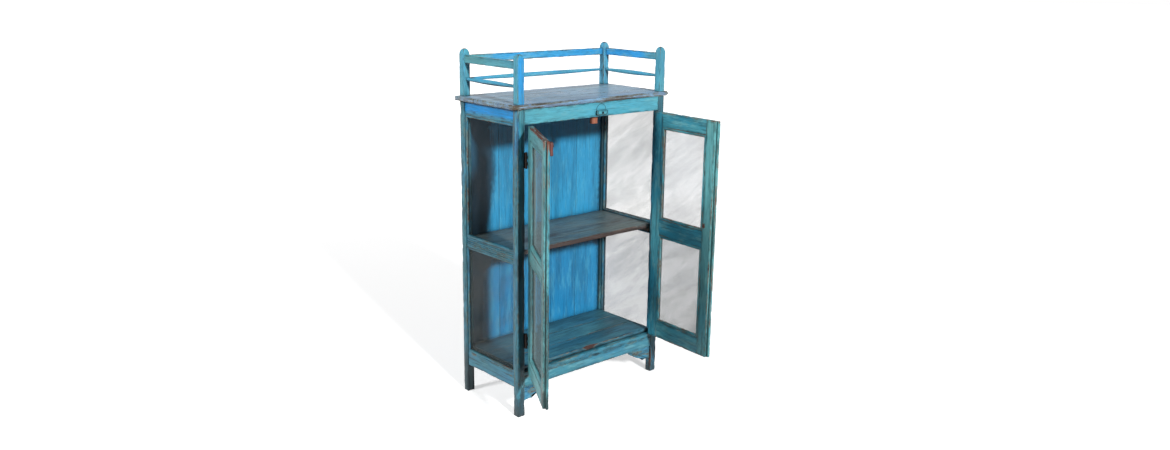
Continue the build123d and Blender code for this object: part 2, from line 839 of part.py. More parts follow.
nodes = {}
nodes.update(right_and_left("post_front", front_post()))
nodes.update(right_and_left("post_back", back_post()))
nodes.update(right_and_left("side_bottom_rail", side_rail(*side_levels[0])))
nodes.update(right_and_left("side_mid_rail", reeded_rail(*side_levels[1])))
nodes.update(right_and_left("side_top_rail", side_rail(*side_levels[2])))
nodes.update(right_and_left("side_lower_pane", side_pane(*side_lights()[0])))
nodes.update(right_and_left("side_upper_pane", side_pane(*side_lights()[1])))
nodes.update(right_and_left("gallery_front_post", gallery_front_post()))
nodes.update(right_and_left("gallery_back_post", gallery_back_post()))
nodes.update(right_and_left("gallery_rail", gallery_side_rail()))
nodes["side_beads"] = group(both_sides(side_beads()))
nodes["frieze"] = frieze()
nodes["front_bottom_rail"] = front_bottom_rail()
nodes["corbels"] = group(both_sides([corbel()]))
nodes["back_rails"] = group(back_rails())
nodes["back_boards"] = group(back_boards())
nodes["shelf"] = shelf()
nodes["floor_boards"] = group(floor_boards())
nodes["cleats"] = group(both_sides(right_cleats()))
nodes["top_boards"] = group(top_boards())
nodes["gallery_back_rail"] = gallery_back_rail()
nodes["gallery_spindles"] = group(spindles())
nodes["stop_block"] = stop_block()
nodes["frieze_button"] = frieze_button_solid
nodes["frieze_button_screw"] = group([frieze_screw, frieze_washer])
nodes["hinge_frame_leaves"] = group(both_sides(frame_leaf(low) for low in hinge_lows))
nodes["hinge_pins"] = group(both_sides(hinge_pin(low) for low in hinge_lows))
nodes["frame_hinge_screws"] = group(both_sides(
    screw for low in hinge_lows for screw in frame_screws(low)))


# ---------------------------------------------------------------- the doors' nodes

door_parts = {
    "hinge_stile": hinge_stile_solid(),
    "top_rail": door_top(),
    "mid_rail": door_middle(),
    "bottom_rail": door_bottom(),
    "lower_pane": door_pane(*door_lights()[0]),
    "upper_pane": door_pane(*door_lights()[1]),
    "beads": group(door_beads()),
    "hinge_leaves": group([door_leaf(low) for low in hinge_lows]),
    "hinge_screws": group([screw for low in hinge_lows for screw in door_screws(low)]),
}
meeting = meeting_stile_solid()


# A door's piece turned about that door's pins.
def swung(solid, side, angle):
    pin = Pos(side * pin_x, pin_y, 0)
    return pin * Rot(0, 0, side * angle) * pin.inverse() * solid


for name, solid in door_parts.items():
    nodes["right_door_" + name] = swung(solid, 1, right_open)
    nodes["left_door_" + name] = swung(to_left(solid), -1, left_open)
nodes["right_door_meeting_stile"] = swung(meeting + outer_tongue(), 1, right_open)
left_meeting = to_left(meeting + inner_tongue()) - door_screw_hole
nodes["left_door_meeting_stile"] = swung(left_meeting, -1, left_open)
nodes["door_button"] = swung(door_button_solid, -1, left_open)
nodes["door_button_screw"] = swung(group([door_screw, door_washer]), -1, left_open)

for name, solid in nodes.items():
    export_step(solid, "parts/" + name + ".step")
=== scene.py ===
import bpy
import json
import math
from mathutils import Matrix, Vector, noise


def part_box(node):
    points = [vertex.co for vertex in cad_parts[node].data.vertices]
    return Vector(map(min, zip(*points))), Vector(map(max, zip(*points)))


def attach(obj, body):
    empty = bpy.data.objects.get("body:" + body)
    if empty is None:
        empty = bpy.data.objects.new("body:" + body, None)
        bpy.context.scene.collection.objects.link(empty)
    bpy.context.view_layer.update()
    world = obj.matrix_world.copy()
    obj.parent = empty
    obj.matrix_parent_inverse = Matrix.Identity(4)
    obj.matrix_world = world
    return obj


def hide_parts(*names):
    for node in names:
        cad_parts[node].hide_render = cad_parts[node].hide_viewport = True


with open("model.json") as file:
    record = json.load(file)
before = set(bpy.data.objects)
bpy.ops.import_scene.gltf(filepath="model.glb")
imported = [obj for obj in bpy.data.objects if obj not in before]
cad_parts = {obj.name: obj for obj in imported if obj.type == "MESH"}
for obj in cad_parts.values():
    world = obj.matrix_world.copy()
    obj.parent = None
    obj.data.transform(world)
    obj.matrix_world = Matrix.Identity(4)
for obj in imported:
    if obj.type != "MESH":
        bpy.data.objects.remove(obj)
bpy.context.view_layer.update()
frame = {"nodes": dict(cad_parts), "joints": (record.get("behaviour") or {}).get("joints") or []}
nodes = frame["nodes"]
joints = {joint["name"]: joint for joint in frame["joints"]}
print("frame loaded:", len(nodes), "nodes")

xAxis, yAxis, zAxis = Vector((1, 0, 0)), Vector((0, 1, 0)), Vector((0, 0, 1))
axes = (xAxis, yAxis, zAxis)


def tone(red, green, blue):
    # a colour as seen on screen, 0 to 255, turned into the linear one that shaders take
    linear = []
    for value in (red, green, blue):
        share = value / 255
        linear.append(share / 12.92 if share <= 0.04045 else ((share + 0.055) / 1.055) ** 2.4)
    return (*linear, 1)


# small helpers for building shaders
def newMaterial(name):
    material = bpy.data.materials.new(name)
    material.use_nodes = True
    material.node_tree.nodes.clear()
    return material, material.node_tree


def put(tree, kind, links=None, values=None, **settings):
    node = tree.nodes.new("ShaderNode" + kind)
    for key, value in settings.items():
        setattr(node, key, value)
    for key, value in (values or {}).items():
        node.inputs[key].default_value = value
    for key, socket in (links or {}).items():
        tree.links.new(socket, node.inputs[key])
    return node


def maths(tree, operation, first, second=None, clamp=False):
    node = put(tree, "Math", operation=operation, use_clamp=clamp)
    for number, value in enumerate((first, second)):
        if value is None:
            continue
        if isinstance(value, (int, float)):
            node.inputs[number].default_value = value
        else:
            tree.links.new(value, node.inputs[number])
    return node.outputs[0]


def times(tree, first, second):
    return maths(tree, "MULTIPLY", first, second)


def plus(tree, first, second, clamp=False):
    return maths(tree, "ADD", first, second, clamp)


def ramp(tree, value, low, high, bottom=0.0, top=1.0):
    links = {"Value": value}
    values = {"From Min": low, "From Max": high, "To Min": bottom, "To Max": top}
    return put(tree, "MapRange", links, values, interpolation_type="SMOOTHSTEP").outputs[0]


def mix(tree, share, first, second):
    node = put(tree, "Mix", data_type="RGBA", blend_type="MIX")
    if isinstance(share, (int, float)):
        node.inputs[0].default_value = share
    else:
        tree.links.new(share, node.inputs[0])
    for number, value in ((6, first), (7, second)):
        if isinstance(value, tuple):
            node.inputs[number].default_value = value
        else:
            tree.links.new(value, node.inputs[number])
    return node.outputs[2]


def grainNoise(tree, grain, along, across, detail, roughness, offset):
    scaled = put(tree, "VectorMath", {0: grain}, {1: (along, across, across)}, operation="MULTIPLY")
    moved = put(tree, "VectorMath", {0: scaled.outputs[0]}, {1: (offset, offset, offset)},
                operation="ADD")
    values = {"Scale": 1.0, "Detail": detail, "Roughness": roughness}
    return put(tree, "TexNoise", {"Vector": moved.outputs[0]}, values).outputs[0]


# every painted finish starts from this one and changes what differs
paintLook = {
    "first": tone(60, 128, 142),      # older teal coat
    "second": tone(48, 132, 180),     # later blue coat
    "light": tone(118, 176, 184),     # rubbed and chalky
    # grime is also the colour laid on for painted shade and painted shadows
    "grime": tone(16, 44, 52),        # dirt lying along the grain
    "under": tone(86, 106, 100),      # old undercoat at chips
    "wood": tone(92, 54, 42),         # bare wood
    "woodDark": tone(50, 26, 22),
    "tintSpread": 0.9,                # how far the two coats break into each other
    "lightAmount": 0.4,
    "grimeAmount": 0.75,
    "fineAmount": 0.4,
    "shadeAmount": 0.45,              # broad dull areas
    "edgeGrime": 0.6,                 # dirt beside the edges
    "edgeWorn": (0.28, 0.72),         # paint lost at the arrises, least and most
    "spots": 0.3,                     # wear away from the edges
    # how far corners and joints darken with dirt and painted shade
    "crevice": 0.85,
    "rough": 0.40,
    "bump": 0.0009,
}


# noise that every painted finish is made from: scale along the grain and across it, detail,
# roughness, offset
paintNoise = {
    "blotch": (3.0, 9.0, 4.0, 0.6, 0.0),
    "streak": (6.5, 120.0, 6.0, 0.7, 7.0),
    "smear": (9.0, 38.0, 5.0, 0.7, 19.0),
    "fine": (28.0, 520.0, 2.0, 0.5, 3.0),
    "flake": (55.0, 150.0, 5.0, 0.7, 31.0),
    "spot": (17.0, 40.0, 6.0, 0.68, 43.0),
    "broad": (2.2, 14.0, 5.0, 0.65, 57.0),
}

# the values of its noise or mark between which each effect sets in
paintSteps = {
    "rubbed": (0.50, 0.62),
    "dull": (0.48, 0.62),
    "grimy": (0.50, 0.62),
    "brushed": (0.45, 0.75),
    "broken": (0.40, 0.60),           # edge wear comes and goes along an arris
    "nearEdge": (0.0, 0.6),
    "soiledEdge": (0.42, 0.62),
    "spotted": (0.60, 0.78),
    "under": (0.47, 0.60),            # paint lost down to the undercoat
    "wood": (0.66, 0.80),             # and down to the wood
    "woodStreak": (0.35, 0.65),
    "corner": (0.88, 0.35),
    "dirty": (0.25, 0.7),
    "scratch": (0.36, 0.5),
    "sheen": (0.3, 0.7),
}


def paintMaterial(name, ring=None, **changes):
    look = dict(paintLook, **changes)
    material, tree = newMaterial(name)
    grain = put(tree, "Attribute", attribute_name="grain").outputs["Vector"]
    marks = {}
    for mark in ("tint", "arris", "dirt", "bare"):
        marks[mark] = put(tree, "Attribute", attribute_name=mark).outputs["Fac"]
    blotch, streak, smear, fine, flake, spot, broad = [
        grainNoise(tree, grain, *values) for values in paintNoise.values()]

    # two coats that show through each other
    spread = times(tree, maths(tree, "SUBTRACT", blotch, 0.5), look["tintSpread"] * 2)
    colour = mix(tree, plus(tree, marks["tint"], spread, True), look["first"], look["second"])
    rubbed = times(tree, ramp(tree, smear, *paintSteps["rubbed"]), look["lightAmount"])
    colour = mix(tree, rubbed, colour, look["light"])
    dull = times(tree, ramp(tree, broad, *paintSteps["dull"]), look["shadeAmount"])
    colour = mix(tree, dull, colour, look["grime"])
    grimy = times(tree, ramp(tree, streak, *paintSteps["grimy"]), look["grimeAmount"])
    colour = mix(tree, grimy, colour, look["grime"])
    brushed = times(tree, ramp(tree, fine, *paintSteps["brushed"]), look["fineAmount"])
    colour = mix(tree, brushed, colour, look["grime"])

    # paint lost at the edges, in spots and where hands and feet rub
    broken = ramp(tree, smear, *paintSteps["broken"], *look["edgeWorn"])
    edge = times(tree, marks["arris"], broken)
    nearEdge = ramp(tree, marks["arris"], *paintSteps["nearEdge"])
    nearEdge = times(tree, nearEdge, ramp(tree, spot, *paintSteps["soiledEdge"]))
    soiled = times(tree, nearEdge, look["edgeGrime"])
    colour = mix(tree, soiled, colour, look["grime"])
    loose = times(tree, maths(tree, "SUBTRACT", flake, 0.5), 0.9)
    spotted = times(tree, ramp(tree, spot, *paintSteps["spotted"]), look["spots"])
    lost = plus(tree, plus(tree, edge, loose), plus(tree, spotted, marks["bare"]))
    underMask = ramp(tree, lost, *paintSteps["under"])
    woodMask = ramp(tree, lost, *paintSteps["wood"])
    wood = mix(tree, ramp(tree, streak, *paintSteps["woodStreak"]), look["wood"], look["woodDark"])
    colour = mix(tree, times(tree, underMask, 0.8), colour, look["under"])
    colour = mix(tree, woodMask, colour, wood)

    # dirt and painted shade in corners and joints: darker where the ambient occlusion closes in, and
    # where a piece carries dirt or painted shadow marks
    corner = put(tree, "AmbientOcclusion", values={"Distance": 0.03}, samples=4).outputs["AO"]
    crevice = times(tree, ramp(tree, corner, *paintSteps["corner"]), look["crevice"])
    dirty = times(tree, ramp(tree, plus(tree, marks["dirt"], loose), *paintSteps["dirty"]), 0.9)
    if ring:
        place = put(tree, "TexCoord").outputs["Object"]
        flat = put(tree, "VectorMath", {0: place}, {1: (1, 0, 1)}, operation="MULTIPLY").outputs[0]
        away = put(tree, "VectorMath", {0: flat}, {1: ring["centre"]}, operation="DISTANCE")
        offLine = maths(tree, "SUBTRACT", away.outputs["Value"], ring["radius"])
        offLine = maths(tree, "ABSOLUTE", offLine)
        scratch = ramp(tree, offLine, ring["width"], ring["width"] * 0.3)
        faint = times(tree, scratch, ramp(tree, smear, *paintSteps["scratch"]))
        dirty = maths(tree, "MAXIMUM", dirty, times(tree, faint, ring["strength"]))
    colour = mix(tree, maths(tree, "MAXIMUM", crevice, dirty), colour, look["grime"])

    roughness = ramp(tree, smear, *paintSteps["sheen"], look["rough"] - 0.08, look["rough"] + 0.14)
    roughness = plus(tree, roughness, times(tree, woodMask, 0.22), True)
    relief = plus(tree, times(tree, streak, -0.35), times(tree, fine, -0.2))
    relief = plus(tree, relief, times(tree, underMask, -0.4))
    bump = put(tree, "Bump", {"Height": relief}, {"Strength": 1.0, "Distance": look["bump"]})
    links = {"Base Color": colour, "Roughness": roughness, "Normal": bump.outputs[0]}
    shader = put(tree, "BsdfPrincipled", links, {"Specular IOR Level": 0.45})
    put(tree, "OutputMaterial", {"Surface": shader.outputs[0]})
    return material


woodLook = {
    "rings": (8.0, 120.0, 5.0, 0.65, 5.0),
    "pores": (60.0, 900.0, 2.0, 0.5, 2.0),
    "stain": (22.0, 40.0, 4.0, 0.6, 11.0),
    "stainAmount": 0.6, "edgeAmount": 0.55, "bump": 0.0006,
}


def woodMaterial(name, light, dark, rough=0.5):
    material, tree = newMaterial(name)
    grain = put(tree, "Attribute", attribute_name="grain").outputs["Vector"]
    arris = put(tree, "Attribute", attribute_name="arris").outputs["Fac"]
    rings, pores, stain = [
        grainNoise(tree, grain, *woodLook[key]) for key in ("rings", "pores", "stain")]
    colour = mix(tree, ramp(tree, rings, 0.35, 0.7), light, dark)
    stained = times(tree, ramp(tree, stain, 0.45, 0.7), woodLook["stainAmount"])
    colour = mix(tree, stained, colour, dark)
    colour = mix(tree, times(tree, arris, woodLook["edgeAmount"]), colour, dark)
    relief = plus(tree, times(tree, rings, 0.5), times(tree, pores, 0.3))
    bump = put(tree, "Bump", {"Height": relief}, {"Strength": 1.0, "Distance": woodLook["bump"]})
    roughness = ramp(tree, stain, 0.3, 0.7, rough - 0.1, rough + 0.12)
    links = {"Base Color": colour, "Roughness": roughness, "Normal": bump.outputs[0]}
    shader = put(tree, "BsdfPrincipled", links)
    put(tree, "OutputMaterial", {"Surface": shader.outputs[0]})
    return material


ironLook = {"dark": tone(34, 34, 34), "rust": tone(84, 52, 36), "rustScale": 260.0, "pitScale": 900.0,
            "pitDepth": 0.0004, "metal": 0.75}


def ironMaterial():
    material, tree = newMaterial("darkIron")
    place = put(tree, "TexCoord").outputs["Object"]
    rust = put(tree, "TexNoise", {"Vector": place},
               {"Scale": ironLook["rustScale"], "Detail": 5.0}).outputs[0]
    pits = put(tree, "TexNoise", {"Vector": place},
               {"Scale": ironLook["pitScale"], "Detail": 3.0}).outputs[0]
    colour = mix(tree, ramp(tree, rust, 0.48, 0.66), ironLook["dark"], ironLook["rust"])
    roughness = ramp(tree, rust, 0.35, 0.7, 0.38, 0.75)
    bump = put(tree, "Bump", {"Height": pits}, {"Strength": 0.8, "Distance": ironLook["pitDepth"]})
    links = {"Base Color": colour, "Roughness": roughness, "Normal": bump.outputs[0]}
    shader = put(tree, "BsdfPrincipled", links, {"Metallic": ironLook["metal"]})
    put(tree, "OutputMaterial", {"Surface": shader.outputs[0]})
    return material


# each pane's grey film: its colour, its share where clearest and cloudiest, and for some the shine
glassLook = {
    "rough": 0.06,
    "smearTurn": 0.62,                # radians that the smears slope
    "smearScale": (3.0, 3.0, 12.0),
    "side_upper_pane_right": (tone(156, 152, 144), 0.24, 0.36),
    "side_lower_pane_right": (tone(146, 148, 152), 0.32, 0.43),
    "right_door_upper_pane": (tone(148, 150, 154), 0.26, 0.38),
    "right_door_lower_pane": (tone(150, 149, 148), 0.40, 0.50),
    "side_upper_pane_left": (tone(90, 100, 104), 0.01, 0.03, 0.1),
    # the lower left side pane's grey film is partly grime and partly painted reflection
    "side_lower_pane_left": (tone(96, 100, 96), 0.06, 0.18, 0.3),
    # the left door's pale, thick films are partly grime and partly painted reflection of the glare on
    # glass seen edge-on; they also hold back light
    "left_door_upper_pane": (tone(160, 178, 180), 0.45, 0.66),
    "left_door_lower_pane": (tone(150, 168, 170), 0.45, 0.66),
}


def glassMaterial(name, filmAndGlareTone, clearest, cloudiest, shine=0.5):
    material, tree = newMaterial(name)
    place = put(tree, "TexCoord").outputs["Object"]
    turned = put(tree, "Mapping", {"Vector": place}, {"Rotation": (glassLook["smearTurn"], 0, 0)})
    slanted = put(tree, "VectorMath", {0: turned.outputs[0]}, {1: glassLook["smearScale"]},
                  operation="MULTIPLY")
    cloud = put(tree, "TexNoise", {"Vector": slanted.outputs[0]},
                {"Scale": 1.2, "Detail": 8.0, "Roughness": 0.62, "Distortion": 0.4}).outputs[0]
    wave = put(tree, "TexNoise", {"Vector": place}, {"Scale": 9.0, "Detail": 1.0}).outputs[0]
    filmAndGlare = ramp(tree, cloud, 0.3, 0.7, clearest, cloudiest)
    bump = put(tree, "Bump", {"Height": wave}, {"Strength": 0.2, "Distance": 0.002})
    links = {"Alpha": filmAndGlare, "Normal": bump.outputs[0]}
    values = {"Base Color": filmAndGlareTone, "Roughness": glassLook["rough"], "IOR": 1.5,
              "Specular IOR Level": shine}
    shader = put(tree, "BsdfPrincipled", links, values)
    put(tree, "OutputMaterial", {"Surface": shader.outputs[0]})
    return material


def span(node, axis, start, end):
    # a node's box with its ends along one axis put elsewhere, as at a joint's shoulders
    low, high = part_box(node)
    low[axis], high[axis] = start, end
    return low, high


def solidBoxes(node):
    # the boxes of a node's separate solids
    mesh = nodes[node].data
    merged, owner = {}, []
    for vertex in mesh.vertices:
        key = tuple(round(value, 5) for value in vertex.co)
        owner.append(merged.setdefault(key, len(merged)))
    parent = list(range(len(merged)))

    def root(item):
        while parent[item] != item:
            parent[item] = parent[parent[item]]
            item = parent[item]
        return item

    for edge in mesh.edges:
        parent[root(owner[edge.vertices[0]])] = root(owner[edge.vertices[1]])
    boxes = {}
    for key, number in merged.items():
        low, high = boxes.setdefault(root(number), (Vector(key), Vector(key)))
        for axis in range(3):
            low[axis] = min(low[axis], key[axis])
            high[axis] = max(high[axis], key[axis])
    return sorted(boxes.values(), key=lambda pair: tuple(round(value, 3) for value in pair[0]))


# every wooden piece is a section run along its grain
millLook = {
    "ease": 0.0016,       # rounding of the arrises
    "band": 0.011,        # how far edge wear reaches in from an arris
    "chips": 0.0022,      # depth of the deepest chips
    "chipNoise": (32, 95),    # how close together the chips lie, large and small
    "chipStart": 0.12,    # how much noise it takes to chip an arris
    "chipGain": 1.6,
    "wobble": 0.0004,     # hand-planed unevenness
    "wobbleNoise": 11,
    "step": 0.012,        # along the grain
    "maxStep": 0.022,     # across it
    "grooveDirt": 0.75,   # dirt lying in grooves
    "endSink": 0.0012,    # dishing of an end face
    "crease": 38,         # degrees from which an arris stays crisp
}
bevelShare = 0.293        # how far a rounded arris's middle point stands in from the corner
cornerTurn = 0.35         # sine of the turn from which a corner is rounded, or a hollow holds dirt
halfWorn = 0.3            # where edge wear has halved, as a share of its band
pieceShift = (3.7, 1.3, 2.1)    # from each piece's noise to the next one's


def millSection(corners, ease, band, maxStep):
    # rounds the sharp corners of a counter-clockwise outline and adds points for the wear
    count = len(corners)
    eases = [corner[2] if len(corner) > 2 else ease for corner in corners]
    corners = [Vector(corner[:2]) for corner in corners]
    rounded = []
    for number, corner in enumerate(corners):
        back = corners[number - 1] - corner
        ahead = corners[(number + 1) % count] - corner
        turn = back.normalized().cross(ahead.normalized())
        sharp = turn < -cornerTurn
        cut = min(eases[number], back.length * 0.4, ahead.length * 0.4) if sharp else 0.0
        rounded.append((corner, back.normalized(), ahead.normalized(), cut, turn))
    points = []
    for number, (corner, back, ahead, cut, turn) in enumerate(rounded):
        insideBack = Vector((back.y, -back.x))
        insideAhead = Vector((-ahead.y, ahead.x))
        inside = (insideBack + insideAhead).normalized()
        if cut:
            points.append((corner + back * cut, 1.0, insideBack, 0.0))
            points.append((corner + (back + ahead) * cut * bevelShare, 1.0, inside, 0.0))
            points.append((corner + ahead * cut, 1.0, insideAhead, 0.0))
        else:
            points.append((corner, 0.0, inside, 1.0 if turn > cornerTurn else 0.0))
        after = rounded[(number + 1) % count]
        start, end = corner + ahead * cut, after[0] + after[1] * after[3]
        length = (end - start).length
        marks = []
        if length > 2.4 * band:
            marks = [(halfWorn * band, 0.5), (band, 0.0)]
            inner = length - 2 * band
            pieces = max(1, math.ceil(inner / maxStep))
            marks += [(band + inner * step / pieces, 0.0) for step in range(1, pieces)]
            marks += [(length - band, 0.0), (length - halfWorn * band, 0.5)]
        elif length > 0.003:
            marks = [(length / 2, 0.3)]
        for place, arris in marks:
            beside = cut if place < length / 2 else after[3]
            points.append((start + ahead * place, arris if beside else 0.0, insideAhead, 0.0))
    return points


def markAt(point, patches):
    marks = {"dirt": 0.0, "bare": 0.0, "tint": 0.0}
    for kind, centre, reach, amount in patches:
        away = Vector([(point[axis] - centre[axis]) / reach[axis] for axis in range(3)]).length
        marks[kind] += amount * max(0.0, 1 - away * away)
    return marks


pieceCount = [0]


def endRings(length, ease, endEase, band, ends):
    # rings near the start of a piece: distance along it, inset, wear
    if length < 3 * (endEase + band):
        return [(0.0, ease, 1.0), (min(ease, length * 0.2), 0.0, 1.0)]
    if ends == "butted":
        return [(0.0, 0.0, 0.35), (band * 0.4, 0.0, 0.15), (band, 0.0, 0.0)]
    rings = [(0.0, endEase, 1.0), (endEase * 0.3, endEase * 0.3, 1.0), (endEase, 0.0, 1.0)]
    return rings + [(endEase + band * halfWorn, 0.0, 0.5), (endEase + band, 0.0, 0.0)]


def mill(name, corners, origin, across, into, along, length, body, stands, material, slot,
         tint=0.3, tintInto=0.0, patches=(), mitre=False, ends="eased", endEase=None, endWear=0.3,
         insetAcross=1.0, place=None, taper=None, extra=(), recesses=(), grainAs=(0, 1, 2), **changes):
    look = dict(millLook, **changes)
    pieceCount[0] += 1
    shift = Vector([pieceCount[0] * step for step in pieceShift])
    ease, band = look["ease"], look["band"]
    section = millSection(corners, ease, band, look["maxStep"])
    middle = sum((point[0] for point in section), Vector((0, 0))) / len(section)

    start = endRings(length, ease, endEase or ease, band, ends)
    first = start[-1][0]
    inner = length - 2 * first
    count = max(1, round(inner / look["step"]))
    between = [first + inner * number / count for number in range(1, count)]
    between = sorted(between + [mark for mark in extra if first < mark < length - first])
    stations = start + [(distance, 0.0, 0.0) for distance in between]
    stations += [(length - distance, inset, worn) for distance, inset, worn in reversed(start)]
    stations.insert(0, (0.0, stations[0][1] + look["endSink"], endWear))
    stations.append((length, stations[-1][1] + look["endSink"], endWear))

    points, grains, values = [], [], {"arris": [], "dirt": [], "bare": [], "tint": []}
    for distance, inset, worn in stations:
        scale = taper(distance) if taper else 1.0
        for point, arris, inside, groove in section:
            inward = Vector((inside.x * insetAcross, inside.y)) * inset
            worked = middle + (point + inward - middle) * scale
            far = distance
            if mitre:
                far = worked.x + (length - 2 * worked.x) * distance / length
            wear = max(arris, worn)
            spot = origin + across * worked.x + into * worked.y + along * far
            seedSpot = spot + shift
            large, small = [noise.noise(seedSpot * scaling) for scaling in look["chipNoise"]]
            rough = large + 0.5 * small
            dent = look["chips"] * wear * wear * max(0.0, rough - look["chipStart"]) * look["chipGain"]
            dent += look["wobble"] * noise.noise(seedSpot * look["wobbleNoise"])
            dent = max(dent, 0.0) if mitre else dent
            spot = spot + (across * inside.x + into * inside.y) * dent
            for low, high, axis, level in recesses:
                if all(low[number] <= spot[number] <= high[number] for number in range(3)):
                    spot[axis] = level
            marks = markAt(spot, patches)
            if place:
                spot = place @ spot
            points.append(spot)
            way = (far, worked.x, worked.y)
            grains.append(Vector([way[number] for number in grainAs]) + shift)
            values["arris"].append(wear)
            values["dirt"].append(marks["dirt"] + look["grooveDirt"] * groove)
            values["bare"].append(marks["bare"])
            values["tint"].append(tint + tintInto * worked.y + marks["tint"])

    size = len(section)
    faces = []
    for ring in range(len(stations) - 1):
        for number in range(size):
            after = (number + 1) % size
            here, there = ring * size, (ring + 1) * size
            faces.append((here + number, here + after, there + after, there + number))
    last = (len(stations) - 1) * size
    faces.append(tuple(reversed(range(size))))
    faces.append(tuple(range(last, last + size)))
    if across.cross(into).dot(along) < 0:
        faces = [tuple(reversed(face)) for face in faces]
    finishPiece(name, points, faces, grains, values, body, stands, material)


def finishPiece(name, points, faces, grains, values, body, stands, material):
    mesh = bpy.data.meshes.new(name)
    mesh.from_pydata([tuple(point) for point in points], [], faces)
    mesh.update()
    vectors = mesh.attributes.new("grain", "FLOAT_VECTOR", "POINT")
    vectors.data.foreach_set("vector", [value for grain in grains for value in grain])
    for key, numbers in values.items():
        mesh.attributes.new(key, "FLOAT", "POINT").data.foreach_set("value", numbers)
    mesh.shade_smooth()
    mesh.set_sharp_from_angle(angle=math.radians(millLook["crease"]))
    mesh.materials.append(material)
    piece = bpy.data.objects.new(name, mesh)
    bpy.context.scene.collection.objects.link(piece)
    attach(piece, body)
    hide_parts(stands)


def bar(name, low, high, grainAxis, body, stands, material, slot, section=None, **changes):
    # a board or post between two corners, with its grain along one axis
    first, second = [(1, 2), (2, 0), (0, 1)][grainAxis]
    wide, thick = high[first] - low[first], high[second] - low[second]
    corners = section(wide, thick) if section else [(0, 0), (wide, 0), (wide, thick), (0, thick)]
    mill(name, corners, Vector(low), axes[first], axes[second], axes[grainAxis],
         high[grainAxis] - low[grainAxis], body, stands, material, slot, **changes)


def capitalised(word):
    return word[0].upper() + word[1:]


sides = (("left", -1), ("right", 1))


bluePaint = paintMaterial("bluePaint")
friezePaint = paintMaterial("friezePaint", first=tone(88, 168, 180), second=tone(72, 164, 194),
                            grimeAmount=0.35, shadeAmount=0.15, spots=0.15, fineAmount=0.3,
                            ring={"centre": (0.033, 0, 1.229), "radius": 0.026, "width": 0.0022,
                                  "strength": 0.95})
sideTopPaint = paintMaterial("sideTopPaint", first=tone(62, 140, 164), second=tone(0, 158, 240),
                             grimeAmount=0.3, tintSpread=0.5, shadeAmount=0.15, lightAmount=0.0)
galleryPaint = paintMaterial("galleryPaint", first=tone(86, 162, 170), second=tone(44, 154, 220),
                             grimeAmount=0.3, tintSpread=0.6, shadeAmount=0.2)
# the top's coats are paler than the rest partly as painted sheen: the white surroundings reflected off
# the top seen at a low angle
topPaint = paintMaterial("topPaint", first=tone(132, 168, 184), second=tone(118, 162, 202),
                         light=tone(168, 190, 206), grime=tone(84, 80, 88), grimeAmount=0.5,
                         under=tone(112, 116, 104), wood=tone(88, 78, 66), woodDark=tone(54, 50, 42),
                         rough=0.32, spots=0.2, shadeAmount=0.25)
# the back's grime colour is also the dark blue of the shadows painted on it
backPaint = paintMaterial("backPaint", first=tone(50, 146, 188), second=tone(28, 118, 166),
                          light=tone(76, 160, 190), grime=tone(14, 48, 66), under=tone(70, 112, 118),
                          grimeAmount=0.25, fineAmount=0.25, tintSpread=0.5, shadeAmount=0.3)
doorPaint = paintMaterial("doorPaint", first=tone(98, 168, 172), second=tone(50, 138, 160),
                          light=tone(128, 184, 182), grime=tone(22, 44, 44), grimeAmount=0.5,
                          under=tone(110, 106, 92), wood=tone(112, 62, 44), spots=0.35,
                          shadeAmount=0.3)
shelfPaint = paintMaterial("shelfPaint", first=tone(96, 110, 108), second=tone(66, 92, 102),
                           light=tone(124, 136, 130), grime=tone(56, 40, 36), grimeAmount=0.75,
                           under=tone(110, 92, 80), spots=0.45)
floorPaint = paintMaterial("floorPaint", first=tone(66, 116, 126), second=tone(46, 104, 130),
                           light=tone(86, 146, 156), grime=tone(24, 42, 48), grimeAmount=0.7,
                           under=tone(110, 110, 100), spots=0.3)
railPaint = paintMaterial("railPaint", first=tone(58, 128, 140), second=tone(44, 130, 170),
                          grimeAmount=0.35, shadeAmount=0.15, spots=0.2, fineAmount=0.35)
stopWood = woodMaterial("stopWood", tone(190, 124, 94), tone(120, 64, 46))
buttonWood = woodMaterial("buttonWood", tone(142, 70, 60), tone(64, 32, 28))
cleatWood = woodMaterial("cleatWood", tone(120, 96, 76), tone(70, 50, 40), 0.7)
darkIron = ironMaterial()
print("finishes made")


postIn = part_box("post_front_right")[0].x
postFront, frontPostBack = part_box("post_front_right")[0].y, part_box("post_front_right")[1].y
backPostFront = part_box("post_back_right")[0].y
leafBoxes = [box for box in solidBoxes("hinge_frame_leaves") if box[1].x > 0]

# a hinge leaf lies in an inlet a little longer and deeper than itself
inletLook = {"deep": 0.0017, "clear": 0.0004, "over": 0.002, "under": 0.0018, "front": 0.01,
             "behind": 0.0003, "wall": 0.0004, "wallSteps": (-0.0002, 0.0001)}


def hingeInlet(edge, way, inward, front, back, bottom, top):
    # what mill sets back for one leaf, and the rings it needs at the inlet's ends
    bottom, top = bottom - inletLook["clear"], top + inletLook["clear"]
    reaches = (-inletLook["over"], inletLook["under"])
    near, far = sorted(way * (edge + inward * reach) for reach in reaches)
    recess = ((near, front - inletLook["front"], bottom), (far, back + inletLook["clear"], top), 0,
              way * (edge + inward * inletLook["deep"]))
    outer, inner = inletLook["wallSteps"]
    return recess, [bottom + outer, bottom + inner, top - inner, top - outer]


